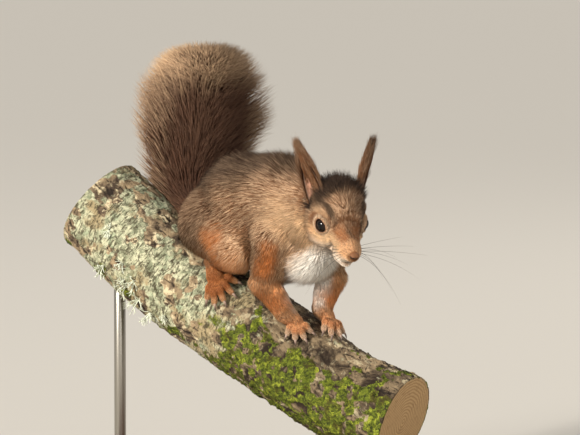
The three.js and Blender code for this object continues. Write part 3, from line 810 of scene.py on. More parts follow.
def scatter(points, faces, crowd, normals):
    """Roots spread over triangles, crowd to the square millimetre, with each one's normal and triangle."""
    a, b, c = (points[faces[:, i]] for i in range(3))
    area = np.linalg.norm(np.cross(b - a, c - a), axis=1) / 2
    total = np.cumsum(area * crowd)
    marks = np.arange(0.5, total[-1])
    marks += rng.uniform(-0.5, 0.5, len(marks))
    face = np.minimum(np.searchsorted(total, marks), len(faces) - 1)
    u, v = rng.random((2, len(face)))
    folded = u + v > 1
    u[folded], v[folded] = 1 - u[folded], 1 - v[folded]
    corners = faces[face]
    weights = np.stack([1 - u - v, u, v], axis=1)[..., None]
    return (points[corners] * weights).sum(axis=1), unit((normals[corners] * weights).sum(axis=1)), corners


# ---------------------------------------------------------------- materials


def tint(text):
    """A colour written as six hexadecimal digits, as the nodes want it."""
    channels = [int(text[i : i + 2], 16) / 255 for i in (0, 2, 4)]
    return (*[c / 12.92 if c <= 0.04045 else ((c + 0.055) / 1.055) ** 2.4 for c in channels], 1.0)


class Nodes:
    """Places nodes in a tree. An input takes another node's socket, a number, or a colour's six digits."""

    def __init__(self, tree):
        self.tree = tree

    def give(self, socket, value):
        if isinstance(value, bpy.types.NodeSocket):
            self.tree.links.new(value, socket)
        else:
            socket.default_value = tint(value) if isinstance(value, str) else value

    def add(self, kind, inputs=None, **settings):
        node = self.tree.nodes.new("ShaderNode" + kind)
        for key, value in settings.items():
            setattr(node, key, value)
        for key, value in (inputs or {}).items():
            self.give(node.inputs[key], value)
        return node

    def use(self, group, inputs=None):
        node = self.tree.nodes.new("ShaderNodeGroup")
        node.node_tree = group
        for key, value in (inputs or {}).items():
            self.give(node.inputs[key], value)
        return node.outputs

    def mix(self, share, a, b, blend="MIX"):
        inputs = {0: share, 6: a, 7: b}  # a colour mix node's factor and its two colours
        return self.add("Mix", inputs, data_type="RGBA", blend_type=blend).outputs[2]

    def calc(self, operation, a, b=0.0, c=0.0, clamp=False):
        return self.add("Math", {0: a, 1: b, 2: c}, operation=operation, use_clamp=clamp).outputs[0]

    def band(self, value, low, high, start=0.0, end=1.0):
        inputs = {"Value": value, "From Min": low, "From Max": high, "To Min": start, "To Max": end}
        return self.add("MapRange", inputs, interpolation_type="SMOOTHSTEP").outputs[0]

    def veil(self, colour, over, value, *limits):
        """The colour with another laid over it where a value passes its limits."""
        return self.mix(self.band(value, *limits), colour, over)

    def grain(self, scale, detail=3.0, rough=0.6, place=None, distortion=0.0):
        inputs = {"Scale": scale, "Detail": detail, "Roughness": rough, "Distortion": distortion}
        if place:
            inputs["Vector"] = place
        return self.add("TexNoise", inputs).outputs["Fac"]

    def number(self, name):
        return self.add("Attribute", attribute_name=name).outputs["Fac"]

    def numbers(self, name):
        triple = self.add("Attribute", attribute_name=name).outputs["Vector"]
        return self.add("SeparateXYZ", {0: triple}).outputs

    def place(self, stretch=(1, 1, 1)):
        coordinates = self.add("TexCoord").outputs["Object"]
        return self.add("Mapping", {"Vector": coordinates, "Scale": stretch}).outputs[0]

    def bump(self, height, strength, distance):
        return self.add("Bump", {"Height": height, "Strength": strength, "Distance": distance}).outputs[0]


def material(name, dress, **constants):
    """A material whose dress function gives the sockets to join; constants are set on the shader itself."""
    made = bpy.data.materials.new(name)
    made.use_nodes = True
    made.node_tree.nodes.clear()
    nodes = Nodes(made.node_tree)
    shader = nodes.add("BsdfPrincipled", {key.replace("_", " "): value for key, value in constants.items()})
    for key, socket in dress(nodes).items():
        nodes.give(shader.inputs[key], socket)
    nodes.add("OutputMaterial", {0: shader.outputs[0]})
    return made


def node_group(name, inputs, outputs, build):
    """A shader node group; build gets its nodes and its input sockets and gives its output sockets."""
    tree = bpy.data.node_groups.new(name, "ShaderNodeTree")
    for way, sockets in (("INPUT", inputs), ("OUTPUT", outputs)):
        for key, kind in sockets.items():
            tree.interface.new_socket(name=key, in_out=way, socket_type="NodeSocket" + kind)
    nodes = Nodes(tree)
    source = tree.nodes.new("NodeGroupInput")
    sink = tree.nodes.new("NodeGroupOutput")
    for key, socket in build(nodes, source.outputs).items():
        nodes.give(sink.inputs[key], socket)
    return tree


FLANK_BROWN = "7f5638"
# The markings' colours, in the order in which they lie over it: dark, tail, buff, rufous, white, bare. The
# dark one also paints shade.
MARK_COLOURS = ("2e1f15", "573b2c", "f0ca9d", "ec9450", "fcf8f0", "94683f")


def build_markings_and_shade(nodes, _):
    """The animal's pattern and its painted shade, from the shares that skin and coat both carry."""
    white, rufous, dark = nodes.numbers("marks_a")
    buff, bare, tail = nodes.numbers("marks_b")
    colour = FLANK_BROWN
    for share, hue in zip((dark, tail, buff, rufous, white, bare), MARK_COLOURS):
        colour = nodes.mix(share, colour, hue)
    mottle = nodes.band(nodes.grain(240.0, 4.0, 0.6, nodes.place()), 0.35, 0.7, 0.0, 0.35)
    dusky = nodes.mix(1.0, colour, (0.55, 0.5, 0.45, 1), "MULTIPLY")
    return {"Colour": nodes.mix(mottle, colour, dusky), "White": white, "Rufous": rufous}


def build_hair(nodes, sockets):
    """A hair's own colours: a dusky root, its marking along the shaft, and a pale band near the tip."""
    along = nodes.number("along")
    root = nodes.mix(1.0, sockets["Colour"], sockets["Root"], "MULTIPLY")
    colour = nodes.mix(nodes.band(along, 0.05, 0.5), root, sockets["Colour"])
    pale = nodes.band(along, sockets["Tip start"], nodes.calc("ADD", sockets["Tip start"], 0.25))
    colour = nodes.mix(nodes.calc("MULTIPLY", pale, sockets["Ticking"]), colour, sockets["Tip"])
    shade = nodes.band(nodes.number("strand"), 0.0, 1.0, 0.78, 1.18)
    grey = nodes.add("CombineColor", {0: shade, 1: shade, 2: shade}).outputs[0]
    return {"Colour": nodes.mix(1.0, colour, grey, "MULTIPLY")}


MARKING_OUTPUTS = {"Colour": "Color", "White": "Float", "Rufous": "Float"}
HAIR_INPUTS = {"Colour": "Color", "Root": "Color", "Tip": "Color", "Ticking": "Float", "Tip start": "Float"}
markings_and_shade_group = node_group("squirrel_markings_and_shade", {}, MARKING_OUTPUTS, build_markings_and_shade)
hair_group = node_group("hair_shaft", HAIR_INPUTS, {"Colour": "Color"}, build_hair)


def dress_hair(root, tip, tip_start):
    def dress(nodes):
        marks = nodes.use(markings_and_shade_group)
        marked = nodes.calc("MAXIMUM", marks["White"], marks["Rufous"])
        plain = nodes.calc("SUBTRACT", 1.0, marked, clamp=True)
        ticked = nodes.calc("MULTIPLY", nodes.calc("MULTIPLY_ADD", plain, 0.9, 0.1), nodes.number("tick"))
        roots = nodes.mix(nodes.calc("MULTIPLY", marks["Rufous"], 0.6), root, "e6d2bf")
        roots = nodes.mix(marks["White"], roots, "f0eade")
        inputs = {"Colour": marks["Colour"], "Root": roots, "Tip": tip}
        inputs.update({"Ticking": ticked, "Tip start": tip_start})
        return {"Base Color": nodes.use(hair_group, inputs)["Colour"]}

    return dress


def dress_skin(nodes):
    dusky = nodes.mix(1.0, nodes.use(markings_and_shade_group)["Colour"], "b09a8c", "MULTIPLY")
    pores = nodes.grain(1600.0, 3.0, 0.7, nodes.place())
    return {"Base Color": dusky, "Normal": nodes.bump(pores, 0.5, 0.0004)}


def dress_nose(nodes):
    colour = nodes.mix(nodes.grain(700.0, 4.0), "6d4830", "865b3b")
    cells = nodes.add("TexVoronoi", {"Vector": nodes.place(), "Scale": 1500.0}).outputs["Distance"]
    # painted shade in the nostrils and along the underside of the nose pad
    colour = nodes.veil(colour, "170c0a", nodes.number("nose_shade"), 0.0, 1.0)
    return {"Base Color": colour, "Normal": nodes.bump(cells, 0.6, 0.0003)}


def dress_eye(nodes):
    facing = nodes.number("facing")
    iris = nodes.mix(nodes.grain(900.0, 5.0, 0.7, nodes.place()), "120a06", "20120a")
    pupil = nodes.veil(iris, "040303", facing, 0.80, 0.84)
    return {"Base Color": nodes.veil("0b0706", pupil, facing, 0.45, 0.62)}


def dress_claw(nodes):
    streak = nodes.grain(900.0, 3.0, 0.6, nodes.place())
    colour = nodes.veil("b79a86", "4b3a33", nodes.number("along"), 0.1, 0.9)
    colour = nodes.veil(colour, "2c211d", streak, 0.4, 0.7, 0.0, 0.4)
    return {"Base Color": colour, "Normal": nodes.bump(streak, 0.3, 0.0002)}


def dress_ear(nodes):
    flesh = nodes.mix(nodes.grain(500.0, 4.0, 0.6, nodes.place()), "9a6c55", "bd8c72")
    colour = nodes.mix(nodes.number("inner"), "4d3626", flesh)
    # painted shade deep inside the ear's scoop, near its root
    colour = nodes.mix(nodes.number("ear_pit_shade"), colour, "1d100b")
    colour = nodes.mix(nodes.number("rim"), colour, "59402e")
    return {"Base Color": colour, "Normal": nodes.bump(nodes.grain(1300.0), 0.4, 0.0003)}


def dress_whisker(nodes):
    return {"Base Color": nodes.mix(nodes.number("along"), "1d1512", "6b5a4c")}


def dress_bark(nodes):
    place = nodes.place()
    spots = lambda scale, detail, rough, bend=0.0: nodes.grain(scale, detail, rough, place, bend)
    broad, fine, flecks = spots(55.0, 6.0, 0.7, 0.5), spots(420.0, 6.0, 0.75), spots(210.0, 5.0, 0.75, 0.8)
    bark = nodes.veil("43362c", "9c8769", broad, 0.38, 0.6)
    bark = nodes.veil(bark, "cbbb98", spots(120.0, 5.0, 0.7, 0.5), 0.53, 0.62)
    bark = nodes.veil(bark, "2b211a", flecks, 0.54, 0.66)
    # painted shade: the bark on the front of the branch's right half is darkened towards 251b12
    damp_and_shade = nodes.calc("MULTIPLY", nodes.number("damp_and_shade"), nodes.band(broad, 0.35, 0.62, 1.0, 0.35))
    bark = nodes.mix(damp_and_shade, bark, "251b12")

    lengthwise = nodes.calc("MULTIPLY", nodes.number("station"), 130.0)
    unrolled = nodes.add("CombineXYZ", {0: lengthwise, 1: nodes.number("turn")}).outputs[0]
    lichen = nodes.veil("7c8066", "c6c4a4", spots(150.0, 6.0, 0.8, 0.6), 0.4, 0.6)
    lichen = nodes.veil(lichen, "9d8d6b", spots(34.0, 5.0, 0.65, 0.3), 0.48, 0.6)
    lichen = nodes.veil(lichen, "9fa98a", spots(75.0, 4.0, 0.6, 0.3), 0.58, 0.68)
    lichen = nodes.veil(lichen, "4b4636", flecks, 0.52, 0.6, 0.0, 0.75)
    lichen = nodes.veil(lichen, "3b3322", nodes.grain(1.0, 5.0, 0.7, unrolled, 0.6), 0.5, 0.58, 0.0, 0.85)

    mossy = nodes.veil("20250c", "66701f", fine, 0.35, 0.62)
    mossy = nodes.veil(mossy, "8f9630", spots(240.0, 5.0, 0.7, 0.4), 0.52, 0.64)
    mossy = nodes.veil(mossy, "3a2f14", spots(80.0, 4.0, 0.65, 0.4), 0.5, 0.62, 0.0, 0.8)

    ring = nodes.calc("ADD", nodes.number("ring"), nodes.calc("MULTIPLY", broad, 0.06))
    uneven = nodes.calc("MULTIPLY", spots(22.0, 3.0, 0.6), 14.0)
    rings = nodes.calc("SINE", nodes.calc("ADD", nodes.calc("MULTIPLY", ring, 88.0), uneven))
    wood = nodes.veil("bf9e72", "a5835a", rings, -0.6, 1.0)
    wood = nodes.veil(wood, "7b5a3a", flecks, 0.5, 0.7, 0.0, 0.5)

    ragged = nodes.calc("MULTIPLY", nodes.calc("SUBTRACT", spots(110.0, 6.0, 0.8, 0.5), 0.5), 2.2)
    colour = nodes.veil(bark, lichen, nodes.calc("ADD", nodes.number("crust"), ragged), 0.4, 0.56)
    colour = nodes.veil(colour, "1d1611", nodes.number("crack"), 0.1, 0.8, 0.88, 0.0)
    colour = nodes.veil(colour, mossy, nodes.number("moss"), 0.2, 0.55)
    colour = nodes.mix(nodes.number("sawn"), colour, wood)
    height = nodes.calc("ADD", nodes.calc("MULTIPLY", fine, 0.7), flecks)
    return {"Base Color": colour, "Normal": nodes.bump(height, 0.8, 0.0012)}


def dress_moss(nodes):
    young = nodes.mix(nodes.number("strand"), "4c6010", "b0b42a")
    patchy = nodes.grain(90.0, 4.0, 0.65, nodes.place(), 0.4)
    young = nodes.veil(young, "4a3f17", patchy, 0.54, 0.64)
    young = nodes.veil(young, "adb42c", patchy, 0.38, 0.5, 0.8, 0.0)
    return {"Base Color": nodes.veil("1c240a", young, nodes.number("along"), 0.1, 0.9)}


def dress_lichen(nodes):
    return {"Base Color": nodes.mix(nodes.grain(500.0, 3.0, 0.6, nodes.place()), "c3c9ae", "e9ecdc")}


def dress_board(nodes):
    inputs = {"Scale": 0.9, "Distortion": 9.0, "Detail": 3.0, "Detail Scale": 1.2}
    inputs["Vector"] = nodes.place((4.0, 34.0, 34.0))
    figure = nodes.add("TexWave", inputs, bands_direction="Y").outputs["Fac"]
    pores = nodes.grain(60.0, 4.0, 0.7, nodes.place((6.0, 60.0, 60.0)))
    wood = nodes.veil("54331f", "835636", figure, 0.1, 0.9)
    wood = nodes.veil(wood, "32190f", pores, 0.55, 0.68, 0.0, 0.7)
    polish = nodes.band(pores, 0.4, 0.7, 0.32, 0.5)
    return {"Base Color": wood, "Roughness": polish, "Normal": nodes.bump(pores, 0.25, 0.0004)}


def dress_rod(nodes):
    brushed = nodes.grain(90.0, 3.0, 0.6, nodes.place((1.0, 1.0, 0.02)))
    colour = nodes.mix(brushed, "8f8b83", "b5b0a6")
    return {"Base Color": colour, "Roughness": nodes.band(brushed, 0.3, 0.7, 0.24, 0.38)}


def dress_floor(nodes):
    return {"Base Color": nodes.mix(nodes.grain(3.0, 2.0), "d8d3ca", "dcd7ce")}


HAIR_SHADER = {"Roughness": 0.6, "Specular_IOR_Level": 0.22}
coat_hair = material("coat_hair", dress_hair("94806f", "e8c5a0", 0.46), **HAIR_SHADER)
tail_hair = material("tail_hair", dress_hair("80695a", "d6b58f", 0.68), **HAIR_SHADER)
skin_material = material("skin_under_coat", dress_skin, Roughness=0.7, Specular_IOR_Level=0.3)
nose_material = material("nose_leather", dress_nose, Roughness=0.52, Specular_IOR_Level=0.3)
eye_material = material("glass_eye", dress_eye, Roughness=0.05, Specular_IOR_Level=0.3)
claw_material = material("claw_horn", dress_claw, Roughness=0.35)
ear_material = material("ear_skin", dress_ear, Roughness=0.6)
whisker_material = material("whisker", dress_whisker, Roughness=0.35)
bark_material = material("bark_and_lichen", dress_bark, Roughness=0.88, Specular_IOR_Level=0.25)
moss_material = material("moss_leaves", dress_moss, Roughness=0.7, Specular_IOR_Level=0.25)
lichen_material = material("lichen_sprays", dress_lichen, Roughness=0.85)
board_material = material("walnut_board", dress_board, Coat_Weight=0.25, Coat_Roughness=0.15)
rod_material = material("brushed_steel", dress_rod, Metallic=1.0)
floor_material = material("pale_floor", dress_floor, Roughness=0.9)

# ---------------------------------------------------------------- skin

SKIN_CELL = 1.15
SKIN_MARGIN = 3
boxes = np.array([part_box(name) for name in ("head", "nose", "trunk", "tail_tip", "tail_root", *FEET)]) / MM
low, high = boxes[:, 0].min(axis=0) - SKIN_MARGIN, boxes[:, 1].max(axis=0) + SKIN_MARGIN
points, faces = surface_of(skin_field, low, high, SKIN_CELL)
points = settled(skin_field, points, 0.5)
# Spots with smaller triangles, each a place and its reach: face, feet, and last the eyes and the mouth.
fine_spots = [(on_head(6, 0, -4), 30), *[(bones[2][0], 15) for bones, _ in feet.values()]]
fine_spots += [*[(eye_middle(side), 8.5) for side in (-1, 1)], (on_head(22, 0, -10), 10)]
for spot, reach in fine_spots:
    middle = points[faces].mean(axis=1)
    points, faces = refined(points, faces, np.linalg.norm(middle - spot, axis=1) < reach)
    close = np.linalg.norm(points - spot, axis=1) < reach * 1.3
    points[close] = settled(skin_field, points[close], 0.4)
skin_normals = point_normals(points, faces)
_, skin_shares = lie_of_coat(points)
skin_marks = markings_and_shade(points, skin_shares)

LIMB_PARTS = ("upper_arm", "forearm", "forefoot", "thigh", "shank", "hindfoot")
FLESH = ["head", "neck", "trunk", "tail_root", "tail_middle", "tail_tip"]
FLESH += [f"{part}_{side}" for part in LIMB_PARTS for side in SIDES]

# The skin's unwrap: each length of the body is a cylinder about its own bones, laid out flat.
CHARTS = {
    "trunk": SPINE,
    "neck": NECK,
    "head": [(on_head(-30, 0, 0), 0, 0), (on_head(27, 0, -6), 0, 0)],
    "tail": TAIL,
    **{f"arm_{side}": limb for side, limb in ARMS.items()},
    **{f"leg_{side}": limb for side, limb in LEGS.items()},
    **{name: [bones[0], bones[2]] for name, (bones, _) in feet.items()},
}
CHART_COLUMNS, CHART_ROWS = 4, 3
CHART_END = 30  # how far a cylinder reaches past its bones at both ends


def unwrapped(p, key):
    """Angle round and share along a length of the body, both from 0 to 1."""
    places = [place for place, *_ in CHARTS[key]]
    spans = [np.linalg.norm(b - a) for a, b in zip(places, places[1:])]
    best = None
    for i, (a, b) in enumerate(zip(places, places[1:])):
        way = unit(b - a)
        t = (p - a) @ way
        held = np.clip(t, 0 if i else -CHART_END, spans[i] + (CHART_END if i == len(spans) - 1 else 0))
        off = np.linalg.norm(p - a - np.clip(t, 0, spans[i])[:, None] * way, axis=1)
        side = unit(np.cross(way, vec(0.31, 0.2, 1)))
        angle = np.arctan2((p - a) @ np.cross(way, side), (p - a) @ side)
        share = (sum(spans[:i]) + held + CHART_END) / (sum(spans) + 2 * CHART_END)
        found = np.stack([off, angle / (2 * np.pi) + 0.5, share], axis=1)
        best = found if best is None else np.where(found[:, :1] < best[:, :1], found, best)
    return best[:, 1:]


def chart_of(p, shares):
    """The key of the length of body that each point belongs to."""
    group = np.array(GROUPS)[shares.argmax(axis=1)]
    chosen = group.astype("U16")
    to_limb = lambda limb: np.min([bone(a, b)(p, 1) for a, b in zip(limb, limb[1:])], axis=0)
    nearest = {"foot": {name: field(p, 0) for name, field in foot_fields.items()}}
    for kind, limbs in (("arm", ARMS), ("leg", LEGS)):
        nearest[kind] = {f"{kind}_{side}": to_limb(limb) for side, limb in limbs.items()}
    for kind, reaches in nearest.items():
        closest = np.array(list(reaches))[np.argmin(list(reaches.values()), axis=0)]
        chosen[group == kind] = closest[group == kind]
    return chosen


def skin_unwrap(points, faces, shares):
    chart = chart_of(points[faces].mean(axis=1), shares[faces].mean(axis=1))
    uv = np.zeros((len(faces), 3, 2))
    for place, key in enumerate(CHARTS):
        own = chart == key
        middle = unwrapped(points[faces[own]].mean(axis=1), key)
        corners = unwrapped(points[faces[own]].reshape(-1, 3), key).reshape(-1, 3, 2)
        corners[..., 0] -= np.round(corners[..., 0] - middle[:, None, 0])
        tile = vec(place % CHART_COLUMNS, place // CHART_COLUMNS)
        uv[own] = (np.clip(corners, 0, 1) * 0.98 + 0.01 + tile) / vec(CHART_COLUMNS, CHART_ROWS)
    return uv


skin_uv = skin_unwrap(points, faces, skin_shares)
skin_values = {"marks_a": skin_marks[:, :3], "marks_b": skin_marks[:, 3:]}
add_mesh("skin", points, faces, skin_material, values=skin_values, uv=skin_uv, slot="coat", replaces=FLESH)

# ---------------------------------------------------------------- coat

PATCH = 0.003  # the side of a tuft's patch on the unwrap


def tuft_piece(name, uv, roots, normals, starts, ends, lengths, widths, rings, marks, ticks, look, slot):
    """A piece of many tufts, each on its own small patch of the unwrap."""
    made, triangles, along, count = tufts(roots, normals, starts, ends, lengths, widths, rings)
    strand = np.repeat(rng.random(len(roots)), count)
    spread = np.array([0, *(-0.5, 0.5, 0) * rings, 0])
    corner = np.stack([np.tile(spread, len(roots)), along - 0.5], axis=1) * PATCH
    uv = np.clip((np.repeat(uv * 0.98 + 0.01, count, axis=0) + corner)[triangles], 0.0005, 0.9995)
    marks = np.repeat(marks, count, axis=0)
    values = {"marks_a": marks[:, :3], "marks_b": marks[:, 3:], "along": along, "strand": strand}
    values["tick"] = np.repeat(ticks, count)
    add_mesh(name, made, triangles, look, values=values, uv=uv, slot=slot)


def comb_of(shares, key):
    """One of the comb's numbers, weighed by each point's shares of the groups."""
    return shares @ np.array([COMB[group][key] for group in GROUPS], float)


SIGHT_START, SIGHT_STEPS = 0.3, 10


def sight(p, way, reach):
    """How far the coat's outer surface is from each point along a way."""
    travelled = np.full(len(p), SIGHT_START)
    for _ in range(SIGHT_STEPS):
        travelled += np.clip(-body(p + travelled[:, None] * way, 1), -4, 12) * 0.9
        travelled = np.clip(travelled, SIGHT_START, reach)
    return travelled


# How close the roots stand: thin low on the tail, thick at its end, and none on lids, lips and nose
# or where the body rests on the branch.
TAIL_CROWD, TAIL_END_CROWD, EYE_CROWD = (0.45, 0.85), 7, 1.8
LID_CLEAR, EYE_CLOSE, LIP_CLEAR, NOSE_CLEAR = 0.5, 7, 0.6, 2.3
HAIR_BRANCH_RADIUS, BRANCH_TOUCH = 34.0, 1.5  # a plain branch that hair keeps off
near_branch = chain([(on_line(s), HAIR_BRANCH_RADIUS, 0) for s in np.linspace(0, BRANCH_LENGTH, 12)])

face_shares, face_middle = skin_shares[faces].mean(axis=1), points[faces].mean(axis=1)
crowd = comb_of(face_shares, "crowd") * 1
tail_crowd = lerp(*TAIL_CROWD, ramp(face_middle[:, 2], 200, 235))
tail_crowd *= lerp(1, TAIL_END_CROWD, ramp(face_middle[:, 2], 272, 290))
crowd *= lerp(1, tail_crowd, face_shares[:, GROUPS.index("tail")])
for side in SIDES.values():
    out, ahead, up = eye_axes(side)
    from_eye = face_middle - eye_middle(side)
    opening = np.where(from_eye @ out > 0, opening_of(from_eye, ahead, up), np.inf)
    crowd[opening < LID_OPENING + LID_CLEAR] = 0
    crowd[opening < EYE_CLOSE] *= EYE_CROWD
crowd[from_lines(one_side(in_head(face_middle)), MOUTH) < LIP_CLEAR] = 0
crowd[np.linalg.norm(face_middle - on_head(*NOSE_AT), axis=1) < NOSE_CLEAR] = 0
crowd[near_branch(face_middle, 1) < -BRANCH_TOUCH] = 0

roots, normals, _ = scatter(points, faces, crowd, skin_normals)
n = len(roots)
way, shares = lie_of_coat(roots)
marks = markings_and_shade(roots, shares)
chart = chart_of(roots, shares)
share = dict(zip(GROUPS, shares.T))
body_share, head_share, tail_share = share["trunk"] + share["neck"], share["head"], share["tail"]
height, white = roots[:, 2], marks[:, 0]
f, l, u = in_head(roots).T

# How steeply each tuft stands, and how long it may be.
CROWN_STAND, CROWN_LONGEST, SADDLE_RISE = (58, 12), 9.5, 14
stand = comb_of(shares, "stand") * (1 + 0.14 * rng.standard_normal(n))
crown = head_share * ramp(u, 9, 15) * ramp(-f, -2, 8)
stand = lerp(stand, CROWN_STAND[0] + CROWN_STAND[1] * rng.standard_normal(n), crown)
stand += SADDLE_RISE * share["trunk"] * ramp(height, 216, 226)
ending = tail_share * ramp(height, 262, 284)
stand = lerp(stand, rng.uniform(30, 56, n), ending)
stand = lerp(stand, rng.uniform(62, 90, n), ending * ramp(normals[:, 2], 0.35, 0.8))
longest = lerp(comb_of(shares, "longest"), CROWN_LONGEST, crown)
longest = lerp(longest, 2.0, head_share * ramp(f, 6, 18))
longest = lerp(1.0, longest, ramp(from_lines(one_side(in_head(roots)), MOUTH), 0.8, 3))
widths = comb_of(shares, "width") * (0.7 + 0.6 * rng.random(n)) * lerp(1, 0.8, head_share * ramp(f, 5, 20))

# Which way it runs: the throat hangs, the cheeks sweep out and down, and face fur parts round the eyes.
throat = share["neck"] * ramp(-normals[:, 2], -0.2, 0.5)
way = unit(way + throat[:, None] * vec(0, -0.1, -0.5))
way = way + 0.2 * three_noises(roots / 11, 11, 12, 13)
way += rng.standard_normal((n, 3)) * lerp(0.1, 0.45, ending)[:, None]
cheek = head_share * ramp(-u, -4, 6)
way += 0.25 * cheek[:, None] * (np.sign(l)[:, None] * head_left - head_axes[2])
for side in SIDES.values():
    from_eye = roots - eye_middle(side)
    out = eye_axes(side)[0]
    radial = from_eye - (from_eye @ out)[:, None] * out
    close = (1 - ramp(np.linalg.norm(from_eye, axis=1), 5.5, 9)) * head_share
    way = lerp(way, unit(radial) + 0.8 * unit(way), close[:, None])
    longest = lerp(longest, 1.6, close)
    stand = lerp(stand, 10, close)
    widths *= lerp(1, 0.62, close)
flat = unit(way - (way * normals).sum(axis=1, keepdims=True) * normals)
rise = np.radians(np.clip(stand, 8, 88))[:, None]
begin = np.minimum(rise * 1.2, 1.5)
finish = rise * lerp(lerp(0.6, 1.0, crown), 1.0, tail_share)[:, None]
starts = unit(np.cos(begin) * flat + np.sin(begin) * normals)
ends = np.cos(finish) * flat + np.sin(finish) * normals
# The tail's hair combs out to the two sides, and some of it crosses over at the tail's end.
TAIL_AXIS, across_tail = vec(-43, 70, 0), unit(TAIL_ACROSS)
crossed = np.where(rng.random(n) < 0.45 * ending, -1, 1) * np.sign((roots - TAIL_AXIS) @ TAIL_ACROSS)
combing = 0.35 * rng.random((n, 1)) * (tail_share * (1 + 1.2 * ending))[:, None]
ends = unit(ends + combing * crossed[:, None] * across_tail)

# How long it is: out to the coat's surface, more or less, and loose hairs reach past it.
reach = sight(roots, unit(starts + ends), longest)
stretch = lerp(0.82 + 0.28 * rng.random(n), 0.55 + 0.6 * rng.random(n) ** 0.5, tail_share)
stretch = lerp(stretch, 0.85 + 1.3 * rng.random(n) ** 4, crown)
saddle = body_share * ramp(height, 216, 226)
breast = body_share * ramp(white, 0.5, 0.9) * (1 - ramp(height, 158, 170))
stretch *= 1 + (0.5 * saddle + 0.6 * breast) * rng.random(n)
shortest = np.minimum(longest * 0.8, lerp(0.8, 1.9, head_share + share["neck"]))
lengths = np.maximum(reach * stretch, shortest)
held_off = near_branch(roots + ends * lengths[:, None], 1) < 0
ends[held_off] = unit(ends[held_off] + normals[held_off] * 0.1 + vec(0, 0, 0.25))
lengths[held_off] *= 0.6
for t in np.linspace(0.95, 0.25, 8):  # no hair lies across the ear's slit
    beside = from_lines(one_side(in_head(along_tuft(roots, starts, ends, lengths, t))), CANAL)
    # painted shade: tufts that cross the ear's slit are painted fully dark
    marks[beside < 1.7] = (0, 0, 1, 0, 0, 0)
    lengths[beside < 0.9] *= t

# How pale its tip is: the tail's long hairs are pale near its end and its edges.
tips = roots + unit(starts + ends) * lengths[:, None]
outward = np.abs((tips - vec(-42, 70, 0)) @ across_tail)
upper = lerp(0.06, 1, ramp(tips[:, 2] + 5 * noise(tips / 9, 81), 276, 300))
tail_tick = ramp(stretch, 0.8, 1.0) * np.maximum(upper, 0.6 * ramp(outward, 25, 39))
tail_tick *= 0.35 + 0.65 * rng.random(n)
body_tick = 0.95 * ramp(rng.random(n), 0.15, 0.9) * (1 - 0.88 * marks[:, 2])
ticks = lerp(body_tick, tail_tick, tail_share) * lerp(1, 0.35, crown)

PIECES = {  # lengths of body, rings of a tuft, material and slot
    "coat_head": (("head",), 1, coat_hair, "coat"),
    "coat_neck": (("neck",), 1, coat_hair, "coat"),
    "coat_trunk": (("trunk",), 1, coat_hair, "coat"),
    "coat_arms": (("arm_right", "arm_left"), 1, coat_hair, "limb_fur"),
    "coat_legs": (("leg_right", "leg_left"), 1, coat_hair, "coat"),
    "coat_feet": (tuple(feet), 1, coat_hair, "limb_fur"),
    "coat_tail": (("tail",), 2, tail_hair, "tail_hair"),
}
MOST_TRIANGLES = 195000
for name, (keys, rings, look, slot) in PIECES.items():
    own = np.flatnonzero(np.isin(chart, keys))
    uv = np.zeros((n, 2))
    for place, key in enumerate(keys):
        mine = chart == key
        uv[mine] = (unwrapped(roots[mine], key) + vec(place, 0)) / vec(len(keys), 1)
    parts = math.ceil(len(own) * 6 * rings / MOST_TRIANGLES)
    order = own[np.argsort(uv[own, 1], kind="stable")]
    for number, part in enumerate(np.array_split(order, parts), 1):
        tuft_piece(
            name if parts == 1 else f"{name}_{number}", uv[part], roots[part], normals[part], starts[part],
            ends[part], lengths[part], widths[part], rings, marks[part], ticks[part], look, slot,
        )

# ---------------------------------------------------------------- eyes and nose


def ball_mesh(segments=56, rings=36):
    """Points and triangles of a unit ball."""
    down = np.linspace(0, np.pi, rings + 1)[1:-1, None]
    turn = np.linspace(0, 2 * np.pi, segments, endpoint=False)
    parts = np.broadcast_arrays(np.sin(down) * np.cos(turn), np.sin(down) * np.sin(turn), np.cos(down))
    points = np.stack(parts, axis=-1).reshape(-1, 3)
    return np.concatenate([points, [[0, 0, 1], [0, 0, -1]]]), ring_faces(rings - 1, segments)[:, ::-1]


EYE_SLACK = 0.12  # the glass stands this far inside the lids' ball
ball_points, ball_faces = ball_mesh()
for name, side in SIDES.items():
    eye_points = eye_middle(side) + ball_points * (EYE_RADIUS - EYE_SLACK)
    facing = ball_points @ eye_axes(side)[0]
    add_mesh(
        f"glass_eye_{name}", eye_points, ball_faces, eye_material, values={"facing": facing},
        uv=planar_uv(eye_points, ball_faces), slot="eye", replaces=[f"eye_{name}"],
    )


def nose_field(p):
    """The nose pad: a soft wedge with a comma of a nostril on each side and a cleft between."""
    local = one_side(in_head(p) - NOSE_AT)
    scaled = lambda centre, size: np.linalg.norm((local - vec(*centre)) / vec(*size), axis=1)
    wedge = lambda centre, size: (scaled(centre, size) - 1) * min(size)
    d = meld(wedge((-0.5, 0, 0.25), (2.6, 2.6, 1.8)), wedge((-0.3, 1.55, -0.2), (2.2, 1.5, 1.65)), 0.9)
    d = meld(d, wedge((-0.4, 0, -1.5), (1.7, 0.9, 1.2)), 0.7)
    d = carve(d, bare_bone((1.75, 1.3, -0.75), (0.5, 2.9, -0.35), 0.62, 0.4)(local), 0.3)
    return carve(d, bare_bone((2.2, 0, 0.6), (1.4, 0, -2.4), 0.16, 0.24)(local), 0.35)


NOSE_REACH, NOSE_CELL = 4, 0.22
nose_low, nose_high = on_head(*NOSE_AT) - NOSE_REACH, on_head(*NOSE_AT) + NOSE_REACH
nose_points, nose_faces = surface_of(nose_field, nose_low, nose_high, NOSE_CELL)
nose_points = settled(nose_field, nose_points, 0.2)
nose_local = one_side(in_head(nose_points) - NOSE_AT)
